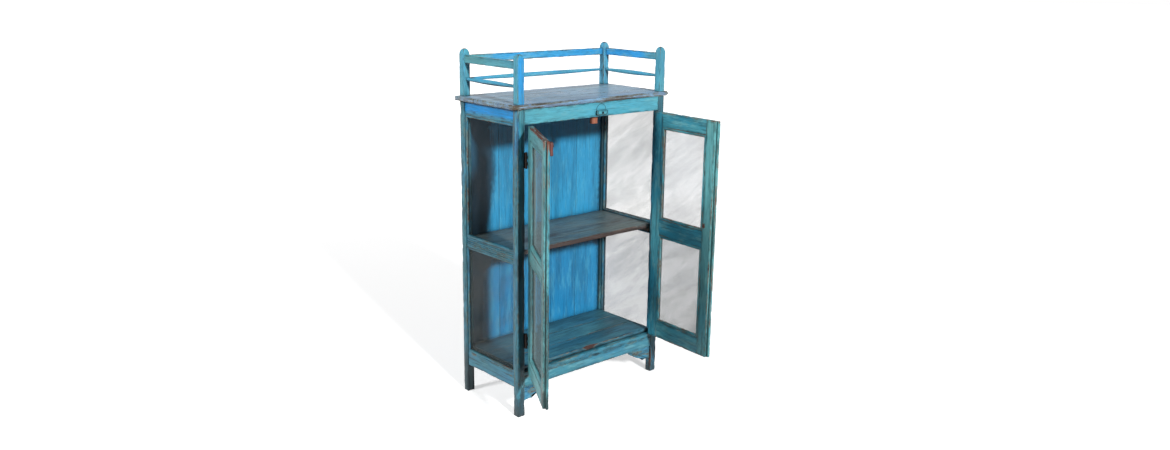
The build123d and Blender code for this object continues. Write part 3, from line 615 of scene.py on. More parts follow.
postLook = {
    "post_front_left": {"tint": 0.3, "patches": [
        ("bare", (-0.370, -0.188, 0.78), (0.017, 0.03, 0.055), 1.6),
        ("dirt", (-0.383, -0.175, 0.0), (0.05, 0.05, 0.15), 0.85),
        ("bare", (-0.383, -0.175, 0.0), (0.05, 0.05, 0.05), 0.6),
        # painted shadow of the open left door down the post's front face
        ("dirt", (-0.378, postFront, 0.62), (0.028, 0.010, 0.60), 1.3),
        ("tint", (-0.402, -0.175, 1.20), (0.012, 0.05, 0.16), 1.0),
        ("dirt", (-0.383, -0.16, 0.66), (0.05, 0.02, 0.05), 0.5),
        ("tint", (-0.383, -0.175, 1.24), (0.05, 0.05, 0.1), -0.6),
    ]},
    "post_front_right": {"tint": 0.3, "patches": [
        ("bare", (0.366, -0.175, 0.03), (0.012, 0.05, 0.10), 0.5),
        ("dirt", (0.383, -0.175, 0.0), (0.05, 0.05, 0.08), 0.8),
    ]},
    "post_back_left": {"tint": 0.15, "patches": [
        ("dirt", (-0.383, 0.175, 0.0), (0.05, 0.05, 0.24), 1.3),
        ("bare", (-0.383, 0.16, 0.04), (0.05, 0.02, 0.10), 0.6),
        # painted shadow on the post's inner face, beside the shadow painted on the left of the back
        ("dirt", (-0.366, 0.175, 0.7), (0.014, 0.05, 0.7), 0.7),
    ]},
    "post_back_right": {"tint": 0.3, "patches": [
        ("dirt", (0.383, 0.175, 0.0), (0.05, 0.05, 0.1), 0.8),
        # darker up the post's inner corner beside the back
        ("dirt", (0.366, 0.16, 0.9), (0.04, 0.04, 0.9), 1.0),
    ]},
}

for end in ("front", "back"):
    for side, way in sides:
        node = f"post_{end}_{side}"
        low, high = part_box(node)
        recesses, extra = [], []
        if end == "front":
            for leafLow, leafHigh in leafBoxes:
                recess, rings = hingeInlet(postIn, way, 1, low.y, leafHigh.y, leafLow.z, leafHigh.z)
                recesses.append(recess)
                extra += rings

        def section(wide, thick, way=way, end=end):
            # extra points on the inner face, where a hinge is let in
            if end == "back":
                return [(0, 0), (wide, 0), (wide, thick), (0, thick)]
            inlet = leafBoxes[0][1].y + inletLook["behind"] - low.y
            wall = inlet + inletLook["wall"]
            if way > 0:
                return [(0, 0), (wide, 0), (wide, thick), (0, thick), (0, wall), (0, inlet)]
            return [(0, 0), (wide, 0), (wide, inlet), (wide, wall), (wide, thick), (0, thick)]

        bar(f"post{capitalised(end)}{capitalised(side)}", low, high, 2, "cabinet", node, bluePaint,
            "blue_paint", section, ease=0.0024, extra=extra, recesses=recesses, endWear=0.8,
            **postLook[node])

friezeLook = {"tint": 0.35, "patches": [
    ("dirt", (-0.366, -0.188, 1.23), (0.012, 0.03, 0.04), 0.5),
    ("dirt", (0.366, -0.188, 1.23), (0.012, 0.03, 0.04), 0.5),
]}
low, high = span("frieze", 0, -postIn, postIn)
bar("friezeBoard", low, high, 0, "cabinet", "frieze", friezePaint, "blue_paint", ends="butted",
    **friezeLook)

frontRailLook = {
    "beadDrop": 0.020, "beadWide": 0.005, "groove": 0.0014, "tint": 0.3,
    "patches": [
        ("dirt", (0.034, -0.188, 0.167), (0.028, 0.02, 0.006), 1.4),
        ("dirt", (0.0, -0.188, 0.124), (0.5, 0.03, 0.012), 0.45),
    ],
}


def beadedFace(wide, thick):
    corners = [(0, 0), (wide, 0), (wide, thick), (0, thick)]
    for way in (1, -1):
        level = thick - frontRailLook["beadDrop"] + way * frontRailLook["beadWide"] / 2
        groove = frontRailLook["groove"]
        corners += [(0, level + groove, 0.0003), (groove, level), (0, level - groove, 0.0003)]
    return corners


low, high = span("front_bottom_rail", 0, -postIn, postIn)
bar("frontBottomRail", low, high, 0, "cabinet", "front_bottom_rail", railPaint, "blue_paint",
    beadedFace, ends="butted", tint=frontRailLook["tint"], patches=frontRailLook["patches"])

corbelLook = {"tint": 0.4, "lengths": (0.044, 0.060, 0.030),
              "drops": ((0.061, 0.059), (0.048, 0.026), (0.024, 0.004)),
              "bulges": (-0.0025, 0.0045, 0.004)}
for side, (low, high) in zip(("Left", "Right"), solidBoxes("corbels")):
    outline, reach, height = [], 0.0, high.z - low.z
    for length, drops, bulge in zip(corbelLook["lengths"], corbelLook["drops"], corbelLook["bulges"]):
        for step in range(6):
            share = step / 5
            drop = drops[0] + (drops[1] - drops[0]) * share + 4 * bulge * share * (1 - share)
            outline.append((reach + length * share, height - drop))
        reach += length
    outline = [(0.0, height)] + outline + [(reach, height)]
    across = xAxis if side == "Left" else -xAxis
    corner = low.x if side == "Left" else high.x
    mill("corbel" + side, outline, Vector((corner, low.y, low.z)), across, zAxis, yAxis,
         high.y - low.y, "cabinet", "corbels", bluePaint, "blue_paint", tint=corbelLook["tint"],
         grainAs=(1, 0, 2), ease=0.0012, band=0.005, endWear=0.1,
         patches=[("dirt", (0, -0.176, 0.05), (0.6, 0.05, 0.06), 0.6)])

sideRailLook = {
    "bottom": {"tint": 0.3, "maxStep": 0.007, "patches": [
        ("bare", (0, -0.135, 0.168), (0.8, 0.030, 0.012), 0.9),
        ("bare", (0, 0.12, 0.178), (0.8, 0.040, 0.012), 0.9),
        ("dirt", (0, 0.05, 0.176), (0.8, 0.07, 0.010), 0.7),
        ("dirt", (0, -0.15, 0.13), (0.5, 0.03, 0.05), 0.4),
    ]},
    "mid": {"tint": 0.25, "patches": []},
    "top": {"tint": 0.95, "maxStep": 0.006, "patches": [
        ("dirt", (0, -0.09, 1.220), (0.8, 0.035, 0.008), 0.8),
        ("dirt", (0, -0.02, 1.220), (0.8, 0.03, 0.007), 0.7),
        ("dirt", (0, 0.04, 1.221), (0.8, 0.02, 0.007), 0.7),
        ("dirt", (0, 0.10, 1.221), (0.8, 0.035, 0.008), 0.8),
        ("tint", (0, 0.0, 1.208), (0.8, 0.5, 0.022), -1.3),
    ]},
}
reedLook = {"count": 4, "deep": 0.0024}
for side, way in sides:
    for part, look in sideRailLook.items():
        node = f"side_{part}_rail_{side}"
        low, high = span(node, 1, frontPostBack, backPostFront)

        def section(wide, thick, way=way, part=part):
            # the outer face of a middle rail is reeded
            corners = [(0, 0), (wide, 0), (wide, thick), (0, thick)]
            if part != "mid":
                return corners
            deep, reeds = reedLook["deep"], []
            for number in range(reedLook["count"]):
                level = (number + 1) * wide / (reedLook["count"] + 1)
                for away in (-deep, 0, deep):
                    into = deep if away == 0 else 0
                    reeds.append((level + away, into if way < 0 else thick - into, 0.0003))
            if way < 0:
                return corners[:1] + reeds + corners[1:]
            return corners[:3] + list(reversed(reeds)) + corners[3:]

        bar(f"side{capitalised(part)}Rail{capitalised(side)}", low, high, 1, "cabinet", node,
            sideTopPaint if part == "top" else bluePaint, "blue_paint", section, ends="butted", **look)


def beadRing(name, low, high, normal, outward, strip, bevel, body, stands, material, slot, **changes):
    # four mitred strips round a light, each milled with its bevel towards the light
    first, second = [axis for axis in range(3) if axis != normal]
    thick = high[normal] - low[normal]
    face = low[normal] if outward > 0 else high[normal]
    bevel = min(bevel, thick * 0.75)
    corners = [(0, 0), (strip, 0), (strip, thick - bevel), (strip - bevel, thick), (0, thick)]
    spans = [high[first] - low[first], high[second] - low[second]]
    starts = [(low, low, first, 1, second, 1), (high, low, second, 1, first, -1),
              (high, high, first, -1, second, -1), (low, high, second, -1, first, 1)]
    for number, (cornerA, cornerB, alongAxis, alongWay, acrossAxis, acrossWay) in enumerate(starts):
        origin = Vector((0, 0, 0))
        origin[first], origin[second], origin[normal] = cornerA[first], cornerB[second], face
        length = spans[0] if alongAxis == first else spans[1]
        mill(f"{name}{number}", corners, origin, axes[acrossAxis] * acrossWay, axes[normal] * outward,
             axes[alongAxis] * alongWay, length, body, stands, material, slot, mitre=True,
             ends="butted", ease=0.0008, band=0.004, chips=0.001, **changes)


sideBeadLook = {"outerStrip": 0.011, "innerStrip": 0.009, "bevel": 0.003, "tint": 0.3}
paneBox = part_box("side_lower_pane_right")
paneMiddle = (paneBox[0].x + paneBox[1].x) / 2
for number, (low, high) in enumerate(solidBoxes("side_beads")):
    middle = (low.x + high.x) / 2
    isOuter = abs(middle) > paneMiddle
    outward = (1 if middle > 0 else -1) * (1 if isOuter else -1)
    beadRing(f"sideBead{number}_", low, high, 0, outward,
             sideBeadLook["outerStrip"] if isOuter else sideBeadLook["innerStrip"],
             sideBeadLook["bevel"], "cabinet", "side_beads", bluePaint, "blue_paint",
             tint=sideBeadLook["tint"])
print("carcass milled")


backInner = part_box("back_boards")[0].y
backLook = {"tints": (0.2, 0.3, 0.2, 0.32, 0.22), "ease": 0.0006, "patches": [
    ("tint", (0, 0.17, 0.35), (2, 2, 0.4), 0.6),
    # painted shadow of the frieze across the top of the back
    ("dirt", (0, backInner, 1.20), (2, 0.006, 0.06), 0.5),
    # the next two: painted shadow of the open left door and the front-left post on the left of the back
    ("dirt", (-0.366, backInner, 0.7), (0.10, 0.006, 1.2), 0.9),
    ("dirt", (-0.366, backInner, 0.98), (0.16, 0.006, 0.34), 1.2),
    # painted shadow of the shelf on the back below it
    ("dirt", (0, backInner, 0.60), (2, 0.006, 0.085), 0.75),
    # darker up the back's inner right corner
    ("dirt", (0.366, backInner, 0.7), (0.03, 0.006, 1.2), 0.6),
]}
for number, (low, high) in enumerate(solidBoxes("back_boards")):
    bar(f"backBoard{number}", low, high, 2, "cabinet", "back_boards", backPaint, "back_paint",
        tint=backLook["tints"][number], ease=backLook["ease"], band=0.0015, chips=0, wobble=0,
        patches=backLook["patches"])
for number, (low, high) in enumerate(solidBoxes("back_rails")):
    low.x, high.x = -postIn, postIn
    bar(f"backRail{number}", low, high, 0, "cabinet", "back_rails", backPaint, "back_paint",
        ends="butted")

shelfLook = {"tint": 0.35, "ease": 0.003, "patches": [
    ("dirt", (-0.2, -0.05, 0.694), (0.16, 0.04, 0.02), 0.35),
    ("dirt", (0.0, -0.159, 0.682), (0.6, 0.004, 0.02), 0.9),
    ("dirt", (-0.12, 0.0, 0.694), (0.3, 0.25, 0.02), 0.38),
    ("bare", (0.1, 0.05, 0.694), (0.25, 0.012, 0.02), 0.3),
    ("bare", (-0.15, 0.0, 0.694), (0.2, 0.008, 0.02), 0.3),
]}
low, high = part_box("shelf")
bar("shelfBoard", low, high, 0, "cabinet", "shelf", shelfPaint, "blue_paint", ends="butted",
    **shelfLook)

floorLook = {"tints": (0.55, 0.4, 0.5), "patches": [
    ("bare", (0.012, -0.168, 0.206), (0.05, 0.016, 0.02), 1.0),
    ("bare", (-0.1, -0.12, 0.206), (0.12, 0.008, 0.02), 0.25),
    ("bare", (0.22, -0.1, 0.206), (0.05, 0.01, 0.02), 0.3),
]}
for number, (low, high) in enumerate(solidBoxes("floor_boards")):
    bar(f"floorBoard{number}", low, high, 0, "cabinet", "floor_boards", floorPaint, "blue_paint",
        ends="butted", tint=floorLook["tints"][number], patches=floorLook["patches"], band=0.007)
for number, (low, high) in enumerate(solidBoxes("cleats")):
    bar(f"cleat{number}", low, high, 1, "cabinet", "cleats", cleatWood, "bare_wood")
print("back, shelf and floor laid")


topLook = {"nosing": 0.006, "tints": (0.6, 0.5, 0.35), "patches": [
    ("bare", (-0.421, -0.193, 1.275), (0.03, 0.025, 0.03), 0.5),
    ("bare", (0.421, -0.193, 1.275), (0.03, 0.03, 0.03), 0.35),
    ("dirt", (-0.2, 0.05, 1.281), (0.2, 0.03, 0.01), 0.25),
    ("dirt", (0.0, -0.193, 1.268), (0.7, 0.02, 0.012), 0.45),
    ("bare", (-0.3, -0.193, 1.272), (0.2, 0.01, 0.02), 0.1),
    ("bare", (0.15, -0.193, 1.272), (0.12, 0.01, 0.02), 0.3),
]}
topBoxes = sorted(solidBoxes("top_boards"), key=lambda box: box[0].y)
for number, (low, high) in enumerate(topBoxes):
    nosing = topLook["nosing"] if number == 0 else 0.0008

    def section(wide, thick, nosing=nosing):
        return [(0, 0, nosing), (wide, 0, 0.0008), (wide, thick, 0.0008), (0, thick, nosing)]

    bar(f"topBoard{number}", low, high, 0, "cabinet", "top_boards", topPaint, "top_paint", section,
        tint=topLook["tints"][number], patches=topLook["patches"], endEase=topLook["nosing"],
        insetAcross=0.0, endWear=0.5, band=0.008)

boardTop = topBoxes[0][1].z
galleryLook = {
    "shoulder": 0.172,                # from the top board to where a post's head starts
    "waist": 0.0102, "waistShare": 0.75, "crown": 0.017, "crownShare": 0.33,
    "headRings": (-0.001, 0.0, 0.001, 0.005, 0.0102, 0.0135),
    "gallery_front_post_left": {"tint": 0.25, "patches": [
        ("tint", (-0.380, -0.196, 1.37), (0.03, 0.012, 0.2), 1.4),
        ("bare", (-0.384, -0.176, 1.465), (0.03, 0.03, 0.022), 0.55),
    ]},
    "gallery_front_post_right": {"tint": 0.35, "patches": [
        ("bare", (0.384, -0.176, 1.468), (0.03, 0.03, 0.015), 0.4),
    ]},
    "gallery_back_post_left": {"tint": 0.2, "patches": [
        # painted shade: the lower back post stands in partial shadow
        ("dirt", (-0.384, 0.176, 1.38), (0.04, 0.04, 0.14), 0.4),
        ("bare", (-0.384, 0.176, 1.468), (0.03, 0.03, 0.015), 0.4),
    ]},
    "gallery_back_post_right": {"tint": 0.4, "patches": [
        # painted shade: the lower back post stands in partial shadow
        ("dirt", (0.384, 0.176, 1.38), (0.04, 0.04, 0.12), 0.35),
        ("bare", (0.384, 0.176, 1.468), (0.03, 0.03, 0.015), 0.4),
    ]},
}


def galleryTaper(distance):
    over = distance - galleryLook["shoulder"]
    if over <= 0:
        return 1.0
    waist, waistShare = galleryLook["waist"], galleryLook["waistShare"]
    if over < waist:
        return 1 - (1 - waistShare) * over / waist
    share = min(1.0, (over - waist) / (galleryLook["crown"] - waist))
    return waistShare + (galleryLook["crownShare"] - waistShare) * share


for end in ("front", "back"):
    for side, _ in sides:
        node = f"gallery_{end}_post_{side}"
        low, high = span(node, 2, boardTop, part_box(node)[1].z)
        rings = [galleryLook["shoulder"] + step for step in galleryLook["headRings"]]
        bar(f"gallery{capitalised(end)}Post{capitalised(side)}", low, high, 2, "cabinet", node,
            galleryPaint, "blue_paint", ease=0.002, extra=rings, taper=galleryTaper, endEase=0.001,
            band=0.002, endWear=1.0, chips=0.003, **galleryLook[node])

galleryRailLook = {
    "left": {"tint": 0.2, "patches": [("dirt", (-0.388, 0.0, 1.43), (0.02, 0.05, 0.01), 0.3)]},
    "right": {"tint": 1.1, "patches": [("tint", (0.388, -0.14, 1.43), (0.05, 0.09, 0.05), -0.9)]},
    "back": {"tint": 0.75, "patches": [
        ("tint", (-0.34, 0.18, 1.43), (0.1, 0.05, 0.05), -0.8),
        ("dirt", (0, 0.18, 1.446), (0.5, 0.03, 0.006), 0.5),
    ]},
}
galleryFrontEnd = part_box("gallery_front_post_right")[1].y
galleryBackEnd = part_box("gallery_back_post_right")[0].y
for side, _ in sides:
    node = f"gallery_rail_{side}"
    low, high = span(node, 1, galleryFrontEnd, galleryBackEnd)
    bar(f"galleryRail{capitalised(side)}", low, high, 1, "cabinet", node, galleryPaint, "blue_paint",
        ends="butted", band=0.006, **galleryRailLook[side])
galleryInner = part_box("gallery_back_post_right")[0].x
low, high = span("gallery_back_rail", 0, -galleryInner, galleryInner)
bar("galleryRailBack", low, high, 0, "cabinet", "gallery_back_rail", galleryPaint, "blue_paint",
    ends="butted", band=0.006, **galleryRailLook["back"])

spindleLook = {"endShare": 0.526, "plug": 0.010, "sidesRound": 20, "tint": 0.35,
               "dirt": 0.55, "leftDirt": 1.3}
for number, (low, high) in enumerate(solidBoxes("gallery_spindles")):
    axis = 0 if high.x - low.x > high.y - low.y else 1
    first, second = [(1, 2), (2, 0)][axis]
    radius, length = (high[second] - low[second]) / 2, high[axis] - low[axis]
    outline = []
    for step in range(spindleLook["sidesRound"]):
        turn = 2 * math.pi * step / spindleLook["sidesRound"]
        outline.append((radius * math.cos(turn), radius * math.sin(turn)))

    def spindleTaper(distance, length=length):
        clear = length / 2 - spindleLook["plug"]
        share = min(1.0, abs(distance - length / 2) / clear)
        return 1 - (1 - spindleLook["endShare"]) * share * share

    centre = (low + high) / 2
    centre[axis] = low[axis]
    # each spindle's underside darkens, partly grime and partly painted shade, most on the left spindles
    undersideDirtAndShade = spindleLook["leftDirt"] if axis == 1 and centre.x < 0 else spindleLook["dirt"]
    mill(f"gallerySpindle{number}", outline, centre, axes[first], axes[second], axes[axis], length,
         "cabinet", "gallery_spindles", galleryPaint, "blue_paint", tint=spindleLook["tint"],
         taper=spindleTaper, chips=0.0, ends="butted",
         patches=[("dirt", (centre.x, centre.y, centre.z - 0.014), (0.9, 0.9, 0.014), undersideDirtAndShade)])
print("top and gallery set")


# the stop behind the frieze, and the turn button on it
low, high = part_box("stop_block")
bar("stopBlock", low, high, 2, "cabinet", "stop_block", stopWood, "bare_wood")

buttonLook = {"corner": 0.003, "tint": 0.3}
low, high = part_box("frieze_button")
bar("friezeButton", low, high, 0, "frieze_button", "frieze_button", friezePaint, "blue_paint",
    tint=buttonLook["tint"], endEase=buttonLook["corner"], band=0.004)


# the doors are milled as if shut, then carried to where each one stands
doorSizes = {
    "thick": 0.021, "hingeStile": 0.064, "meetingStile": 0.058, "topRail": 0.070, "midRail": 0.090,
    "bottomRail": 0.084, "moulding": 0.018, "quirk": 0.0015, "swell": 0.0016, "lip": 0.008,
    "rebateDeep": 0.012, "rebateWide": 0.008, "tongue": 0.010, "lapGap": 0.00025,
    "beadWide": 0.011, "beadBevel": 0.003, "railShy": 0.0004,
}


def shutMatrix(joint):
    pivot, axis = Vector(joints[joint]["pos_m"]), Vector(joints[joint]["axis"])
    turn = Matrix.Rotation(math.radians(joints[joint]["range_deg"][0]), 4, axis)
    return Matrix.Translation(pivot) @ turn @ Matrix.Translation(-pivot)


def shutBox(node, shut):
    low, high = Vector((9, 9, 9)), Vector((-9, -9, -9))
    for vertex in nodes[node].data.vertices:
        spot = shut @ vertex.co
        for axis in range(3):
            low[axis], high[axis] = min(low[axis], spot[axis]), max(high[axis], spot[axis])
    return low, high


def mouldedEdge(wide):
    # from the flat of a door member to its rebate, across the moulding
    flat = wide - doorSizes["moulding"]
    points = [(flat, 0, 0.0004), (flat, doorSizes["quirk"])]
    for step in range(1, 6):
        share = step / 6
        line = doorSizes["quirk"] + (doorSizes["lip"] - doorSizes["quirk"]) * share
        points.append((flat + doorSizes["moulding"] * share,
                       line - 4 * doorSizes["swell"] * share * (1 - share)))
    points += [(wide, doorSizes["lip"], 0.0006), (wide, doorSizes["rebateDeep"], 0.0003)]
    return points + [(wide - doorSizes["rebateWide"], doorSizes["rebateDeep"])]


def stileSection(wide, thick, tongue=None):
    corners = mouldedEdge(wide) + [(wide - doorSizes["rebateWide"], thick)]
    half = thick / 2
    if tongue == "outside":
        return [(-doorSizes["tongue"], 0)] + corners + [
            (0, thick), (0, half - doorSizes["lapGap"]),
            (-doorSizes["tongue"], half - doorSizes["lapGap"], 0.0008)]
    if tongue == "inside":
        return [(0, 0)] + corners + [
            (-doorSizes["tongue"], thick), (-doorSizes["tongue"], half + doorSizes["lapGap"], 0.0008),
            (0, half + doorSizes["lapGap"])]
    return [(0, 0)] + corners + [(0, thick)]


def midSection(wide, thick):
    upper = mouldedEdge(wide) + [(wide - doorSizes["rebateWide"], thick)]
    lower = [(wide - corner[0],) + tuple(corner[1:]) for corner in reversed(upper)]
    return upper + lower


doorLook = {
    "left": {"tint": 0.12, "tintInto": 26.0, "patches": {
        "hinge_stile": [
            ("dirt", (-0.36, -0.18, 0.2), (0.03, 0.04, 0.06), 0.5),
            ("dirt", (-0.34, -0.18, 0.6), (0.08, 0.05, 0.5), 0.62),
            ("bare", (-0.31, -0.19, 0.95), (0.02, 0.02, 0.10), 0.35),
        ],
        "meeting_stile": [
            ("bare", (-0.01, -0.18, 1.19), (0.06, 0.04, 0.03), 0.5),
            ("dirt", (-0.03, -0.17, 0.2), (0.06, 0.05, 0.08), 0.7),
            ("dirt", (-0.03, -0.17, 0.5), (0.08, 0.05, 0.5), 0.62),
        ],
        "top_rail": [("bare", (-0.18, -0.18, 1.205), (0.3, 0.04, 0.02), 0.6)],
        "mid_rail": [("bare", (-0.18, -0.19, 0.70), (0.1, 0.01, 0.05), 0.15)],
        "bottom_rail": [("dirt", (-0.18, -0.18, 0.19), (0.3, 0.05, 0.03), 0.5)],
    }},
    "right": {"tint": 0.2, "tintInto": 22.0, "patches": {
        "hinge_stile": [
            ("tint", (0.34, -0.168, 1.05), (0.1, 0.05, 0.3), 0.5),
            ("dirt", (0.36, -0.168, 1.08), (0.06, 0.02, 0.22), 0.5),
            ("tint", (0.34, -0.168, 0.35), (0.1, 0.05, 0.22), 0.5),
            ("dirt", (0.35, -0.168, 0.38), (0.06, 0.02, 0.2), 0.4),
        ],
        "meeting_stile": [
            ("tint", (0.03, -0.168, 0.95), (0.1, 0.05, 0.6), -0.9),
            ("dirt", (0.03, -0.168, 0.26), (0.06, 0.02, 0.18), 0.35),
            ("bare", (0.045, -0.168, 0.76), (0.012, 0.01, 0.018), 1.1),
            ("bare", (-0.006, -0.178, 0.7), (0.006, 0.03, 0.8), 0.15),
            ("dirt", (0.003, -0.168, 0.7), (0.006, 0.02, 0.8), 0.5),
            ("dirt", (0.055, -0.168, 0.98), (0.004, 0.01, 0.02), 1.4),
            ("bare", (0.02, -0.168, 0.62), (0.03, 0.02, 0.08), 0.25),
        ],
        "top_rail": [
            ("bare", (0.17, -0.168, 1.135), (0.08, 0.02, 0.008), 0.9),
            ("tint", (0.2, -0.168, 1.18), (0.08, 0.05, 0.04), 0.6),
        ],
        "mid_rail": [("tint", (0.2, -0.168, 0.7), (0.3, 0.05, 0.1), 0.3)],
        "bottom_rail": [
            ("bare", (0.18, -0.168, 0.2), (0.2, 0.02, 0.01), 0.3),
            ("dirt", (0.15, -0.168, 0.22), (0.2, 0.02, 0.06), 0.25),
        ],
    }},
}

for side, way in sides:
    look, body = doorLook[side], side + "_door"
    shut = shutMatrix(side + "_door_hinge")
    place = shut.inverted()
    name = side + "Door"
    thick = doorSizes["thick"]
    hingeLow, hingeHigh = shutBox(f"{body}_hinge_stile", shut)
    meetLow, meetHigh = shutBox(f"{body}_meeting_stile", shut)
    front, height = hingeLow.y, hingeHigh.z - hingeLow.z
    hingeEdge = max(abs(hingeLow.x), abs(hingeHigh.x))
    tongueEdge = -min(way * meetLow.x, way * meetHigh.x)
    meetEdge = doorSizes["tongue"] - tongueEdge
    leafHigh = shutBox(f"{body}_hinge_leaves", shut)[1]

    def stile(part, edge, inward, section, extra=(), recesses=(), **changes):
        mill(f"{name}{part}", section, Vector((way * edge, front, hingeLow.z)), xAxis * inward, yAxis,
             zAxis, height, body, f"{body}_{'hinge' if part == 'HingeStile' else 'meeting'}_stile",
             doorPaint, "door_paint", place=place, endWear=0.6, tint=look["tint"],
             tintInto=look["tintInto"], extra=extra, recesses=recesses, ease=0.0018, **changes)

    inlets, marks = [], []
    for low, high in solidBoxes(f"{body}_hinge_leaves"):
        recess, rings = hingeInlet(hingeEdge, way, -1, front, leafHigh.y, low.z, high.z)
        inlets.append(recess)
        marks += [level - hingeLow.z for level in rings]
    inlet = leafHigh.y - front + inletLook["behind"]
    hingeSection = stileSection(doorSizes["hingeStile"], thick)
    hingeSection += [(0, inlet + inletLook["wall"]), (0, inlet)]
    stile("HingeStile", hingeEdge, -way, hingeSection, marks, inlets,
          patches=look["patches"]["hinge_stile"])
    tongue = "outside" if side == "right" else "inside"
    stile("MeetingStile", meetEdge, way, stileSection(doorSizes["meetingStile"], thick, tongue),
          patches=look["patches"]["meeting_stile"])

    # rails, each run over the mouldings of both stiles
    start = meetEdge + doorSizes["meetingStile"] - doorSizes["moulding"]
    stop = hingeEdge - doorSizes["hingeStile"] + doorSizes["moulding"]
    railThick = thick - doorSizes["railShy"]
    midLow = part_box(f"{body}_mid_rail")[0].z
    rails = {
        "top_rail": (hingeHigh.z, -1, stileSection(doorSizes["topRail"], railThick)),
        "mid_rail": (midLow, 1, midSection(doorSizes["midRail"], railThick)),
        "bottom_rail": (hingeLow.z, 1, stileSection(doorSizes["bottomRail"], railThick)),
    }
    for part, (level, up, section) in rails.items():
        mill(name + capitalised(part.split("_")[0]) + "Rail", section,
             Vector((way * start, front, level)), zAxis * up, yAxis, xAxis * way, stop - start, body,
             f"{body}_{part}", doorPaint, "door_paint", place=place, ends="butted",
             tint=look["tint"] + 0.06, tintInto=look["tintInto"], patches=look["patches"][part])

    # beads behind the glass
    sightNear, sightFar = meetEdge + doorSizes["meetingStile"], hingeEdge - doorSizes["hingeStile"]
    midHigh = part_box(f"{body}_mid_rail")[1].z
    lights = [(hingeLow.z + doorSizes["bottomRail"], midLow),
              (midHigh, hingeHigh.z - doorSizes["topRail"])]
    grow = doorSizes["rebateWide"]
    paneBack = shutBox(f"{body}_lower_pane", shut)[1].y
    for number, (bottom, top) in enumerate(lights):
        ends = sorted((way * (sightNear - grow), way * (sightFar + grow)))
        low = Vector((ends[0], paneBack, bottom - grow))
        high = Vector((ends[1], front + thick, top + grow))
        beadRing(f"{name}Bead{number}_", low, high, 1, 1, doorSizes["beadWide"], doorSizes["beadBevel"],
                 body, f"{body}_beads", doorPaint, "door_paint", place=place,
                 tint=look["tint"] + look["tintInto"] * thick * 0.8)

    if side == "left":
        low, high = shutBox("door_button", shut)
        bar("doorButton", low, high, 2, "door_button", "door_button", buttonWood, "bare_wood",
            place=place, endEase=buttonLook["corner"], band=0.004, chips=0.003)
print("doors hung")


# glass and iron keep their CAD shapes
for name, node in nodes.items():
    if name in glassLook:
        node.data.materials.clear()
        node.data.materials.append(glassMaterial("glass_" + name, *glassLook[name]))
    elif "hinge_leaves" in name or "screw" in name or name in ("hinge_frame_leaves", "hinge_pins"):
        node.data.materials.clear()
        node.data.materials.append(darkIron)


# floor, light and camera
studioLook = {
    "floorTone": tone(240, 240, 240), "floorRough": 0.9, "floorGlow": 0.52, "floorReach": 200.0,
    "wallReach": 80.0, "wallHeight": 60.0, "wallFoot": -1.0, "wallSides": 48,
    "sky": 0.08,
    # degrees to the right of straight ahead, degrees up, strength, softness in degrees
    "farLights": {"keyLight": (-11, 23, 4.2, 6), "fillLight": (-97, 26, 2.5, 14)},
    "backLight": {"size": (5.0, 2.2), "energy": 26, "place": (1.6, 4.2, 2.4), "towards": (0, 0, 1.2)},
}
white = (1, 1, 1, 1)


def stagePiece(name, points, faces, material, unseenBy):
    mesh = bpy.data.meshes.new(name)
    mesh.from_pydata(points, [], faces)
    mesh.materials.append(material)
    piece = bpy.data.objects.new(name, mesh)
    bpy.context.scene.collection.objects.link(piece)
    for ray in unseenBy:
        setattr(piece, "visible_" + ray, False)


floorMaterial, floorTree = newMaterial("paleFloor")
floorShader = put(floorTree, "BsdfPrincipled", None, {
    "Base Color": studioLook["floorTone"], "Roughness": studioLook["floorRough"],
    "Specular IOR Level": 0.0, "Emission Color": white, "Emission Strength": studioLook["floorGlow"]})
put(floorTree, "OutputMaterial", {"Surface": floorShader.outputs[0]})
reach = studioLook["floorReach"]
floorCorners = [(-reach, -reach, 0), (reach, -reach, 0), (reach, reach, 0), (-reach, reach, 0)]
stagePiece("studioFloor", floorCorners, [(0, 1, 2, 3)], floorMaterial, ["diffuse"])

# a pale wall far off, seen only when the view is level enough to reach it; it lights nothing
wallMaterial, wallTree = newMaterial("paleWall")
wallGlow = put(wallTree, "Emission", None, {"Color": white, "Strength": 1.0})
put(wallTree, "OutputMaterial", {"Surface": wallGlow.outputs[0]})
wallPoints, wallFaces, wallSides = [], [], studioLook["wallSides"]
for number in range(wallSides):
    turn = 2 * math.pi * number / wallSides
    around = (studioLook["wallReach"] * math.cos(turn), studioLook["wallReach"] * math.sin(turn))
    wallPoints += [around + (studioLook["wallFoot"],), around + (studioLook["wallHeight"],)]
    after = (number + 1) % wallSides
    wallFaces.append((2 * number, 2 * after, 2 * after + 1, 2 * number + 1))
stagePiece("studioWall", wallPoints, wallFaces, wallMaterial, ["diffuse", "glossy", "shadow"])

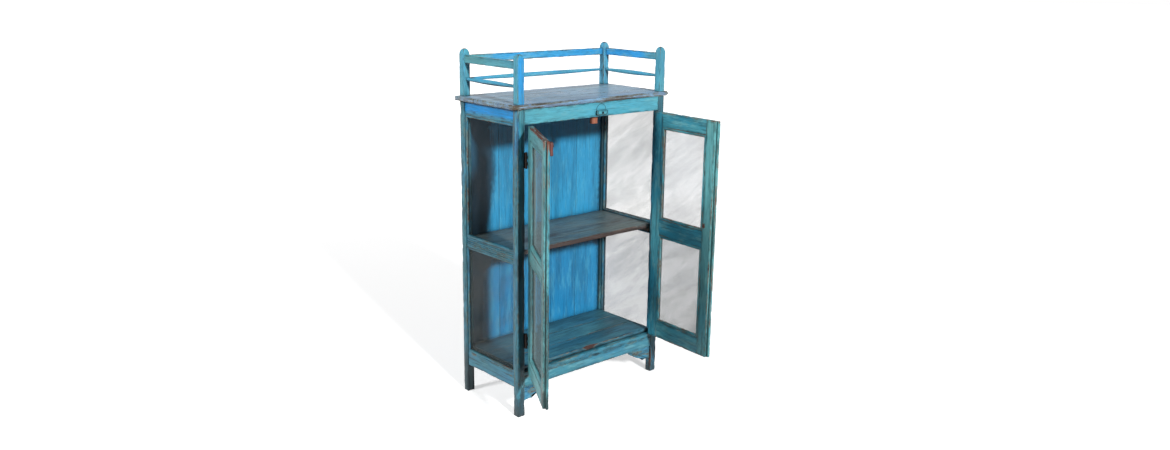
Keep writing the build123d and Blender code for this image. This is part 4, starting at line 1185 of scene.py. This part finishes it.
world = bpy.data.worlds.new("paleStudio")
world.use_nodes = True
world.node_tree.nodes["Background"].inputs["Color"].default_value = white
world.node_tree.nodes["Background"].inputs["Strength"].default_value = studioLook["sky"]
bpy.context.scene.world = world

for name, (aside, above, strength, softness) in studioLook["farLights"].items():
    light = bpy.data.lights.new(name, "SUN")
    light.energy, light.angle = strength, math.radians(softness)
    lamp = bpy.data.objects.new(name, light)
    turn, lift = math.radians(aside), math.radians(above)
    towards = Vector((math.sin(turn) * math.cos(lift), -math.cos(turn) * math.cos(lift),
                      math.sin(lift)))
    lamp.rotation_euler = towards.to_track_quat("Z", "Y").to_euler()
    bpy.context.scene.collection.objects.link(lamp)

lampLook = studioLook["backLight"]
backLight = bpy.data.lights.new("backLight", "AREA")
backLight.shape, backLight.energy = "RECTANGLE", lampLook["energy"]
backLight.size, backLight.size_y = lampLook["size"]
backLamp = bpy.data.objects.new("backLight", backLight)
backLamp.location = lampLook["place"]
facing = Vector(lampLook["place"]) - Vector(lampLook["towards"])
backLamp.rotation_euler = facing.to_track_quat("Z", "Y").to_euler()
backLamp.visible_camera = False
bpy.context.scene.collection.objects.link(backLamp)

cameraLook = {"place": (-2.74632, -3.17165, 1.77609), "yaw": 0.735562, "pitch": -0.247782,
              "roll": 0.0153165, "lens": 30.84, "sensor": 36}
yaw, pitch, roll = cameraLook["yaw"], cameraLook["pitch"], cameraLook["roll"]
looking = Vector((math.sin(yaw) * math.cos(pitch), math.cos(yaw) * math.cos(pitch), math.sin(pitch)))
level = looking.cross(zAxis).normalized()
upward = level.cross(looking)
rolledSide = level * math.cos(roll) + upward * math.sin(roll)
rolledUp = upward * math.cos(roll) - level * math.sin(roll)
cameraData = bpy.data.cameras.new("camera")
cameraData.lens, cameraData.sensor_width = cameraLook["lens"], cameraLook["sensor"]
camera = bpy.data.objects.new("camera", cameraData)
camera.matrix_world = Matrix.Translation(cameraLook["place"]) @ Matrix(
    (rolledSide, rolledUp, -looking)).transposed().to_4x4()
bpy.context.scene.collection.objects.link(camera)
bpy.context.scene.camera = camera
bpy.context.scene.view_settings.view_transform = "Standard"

print("scene ready")
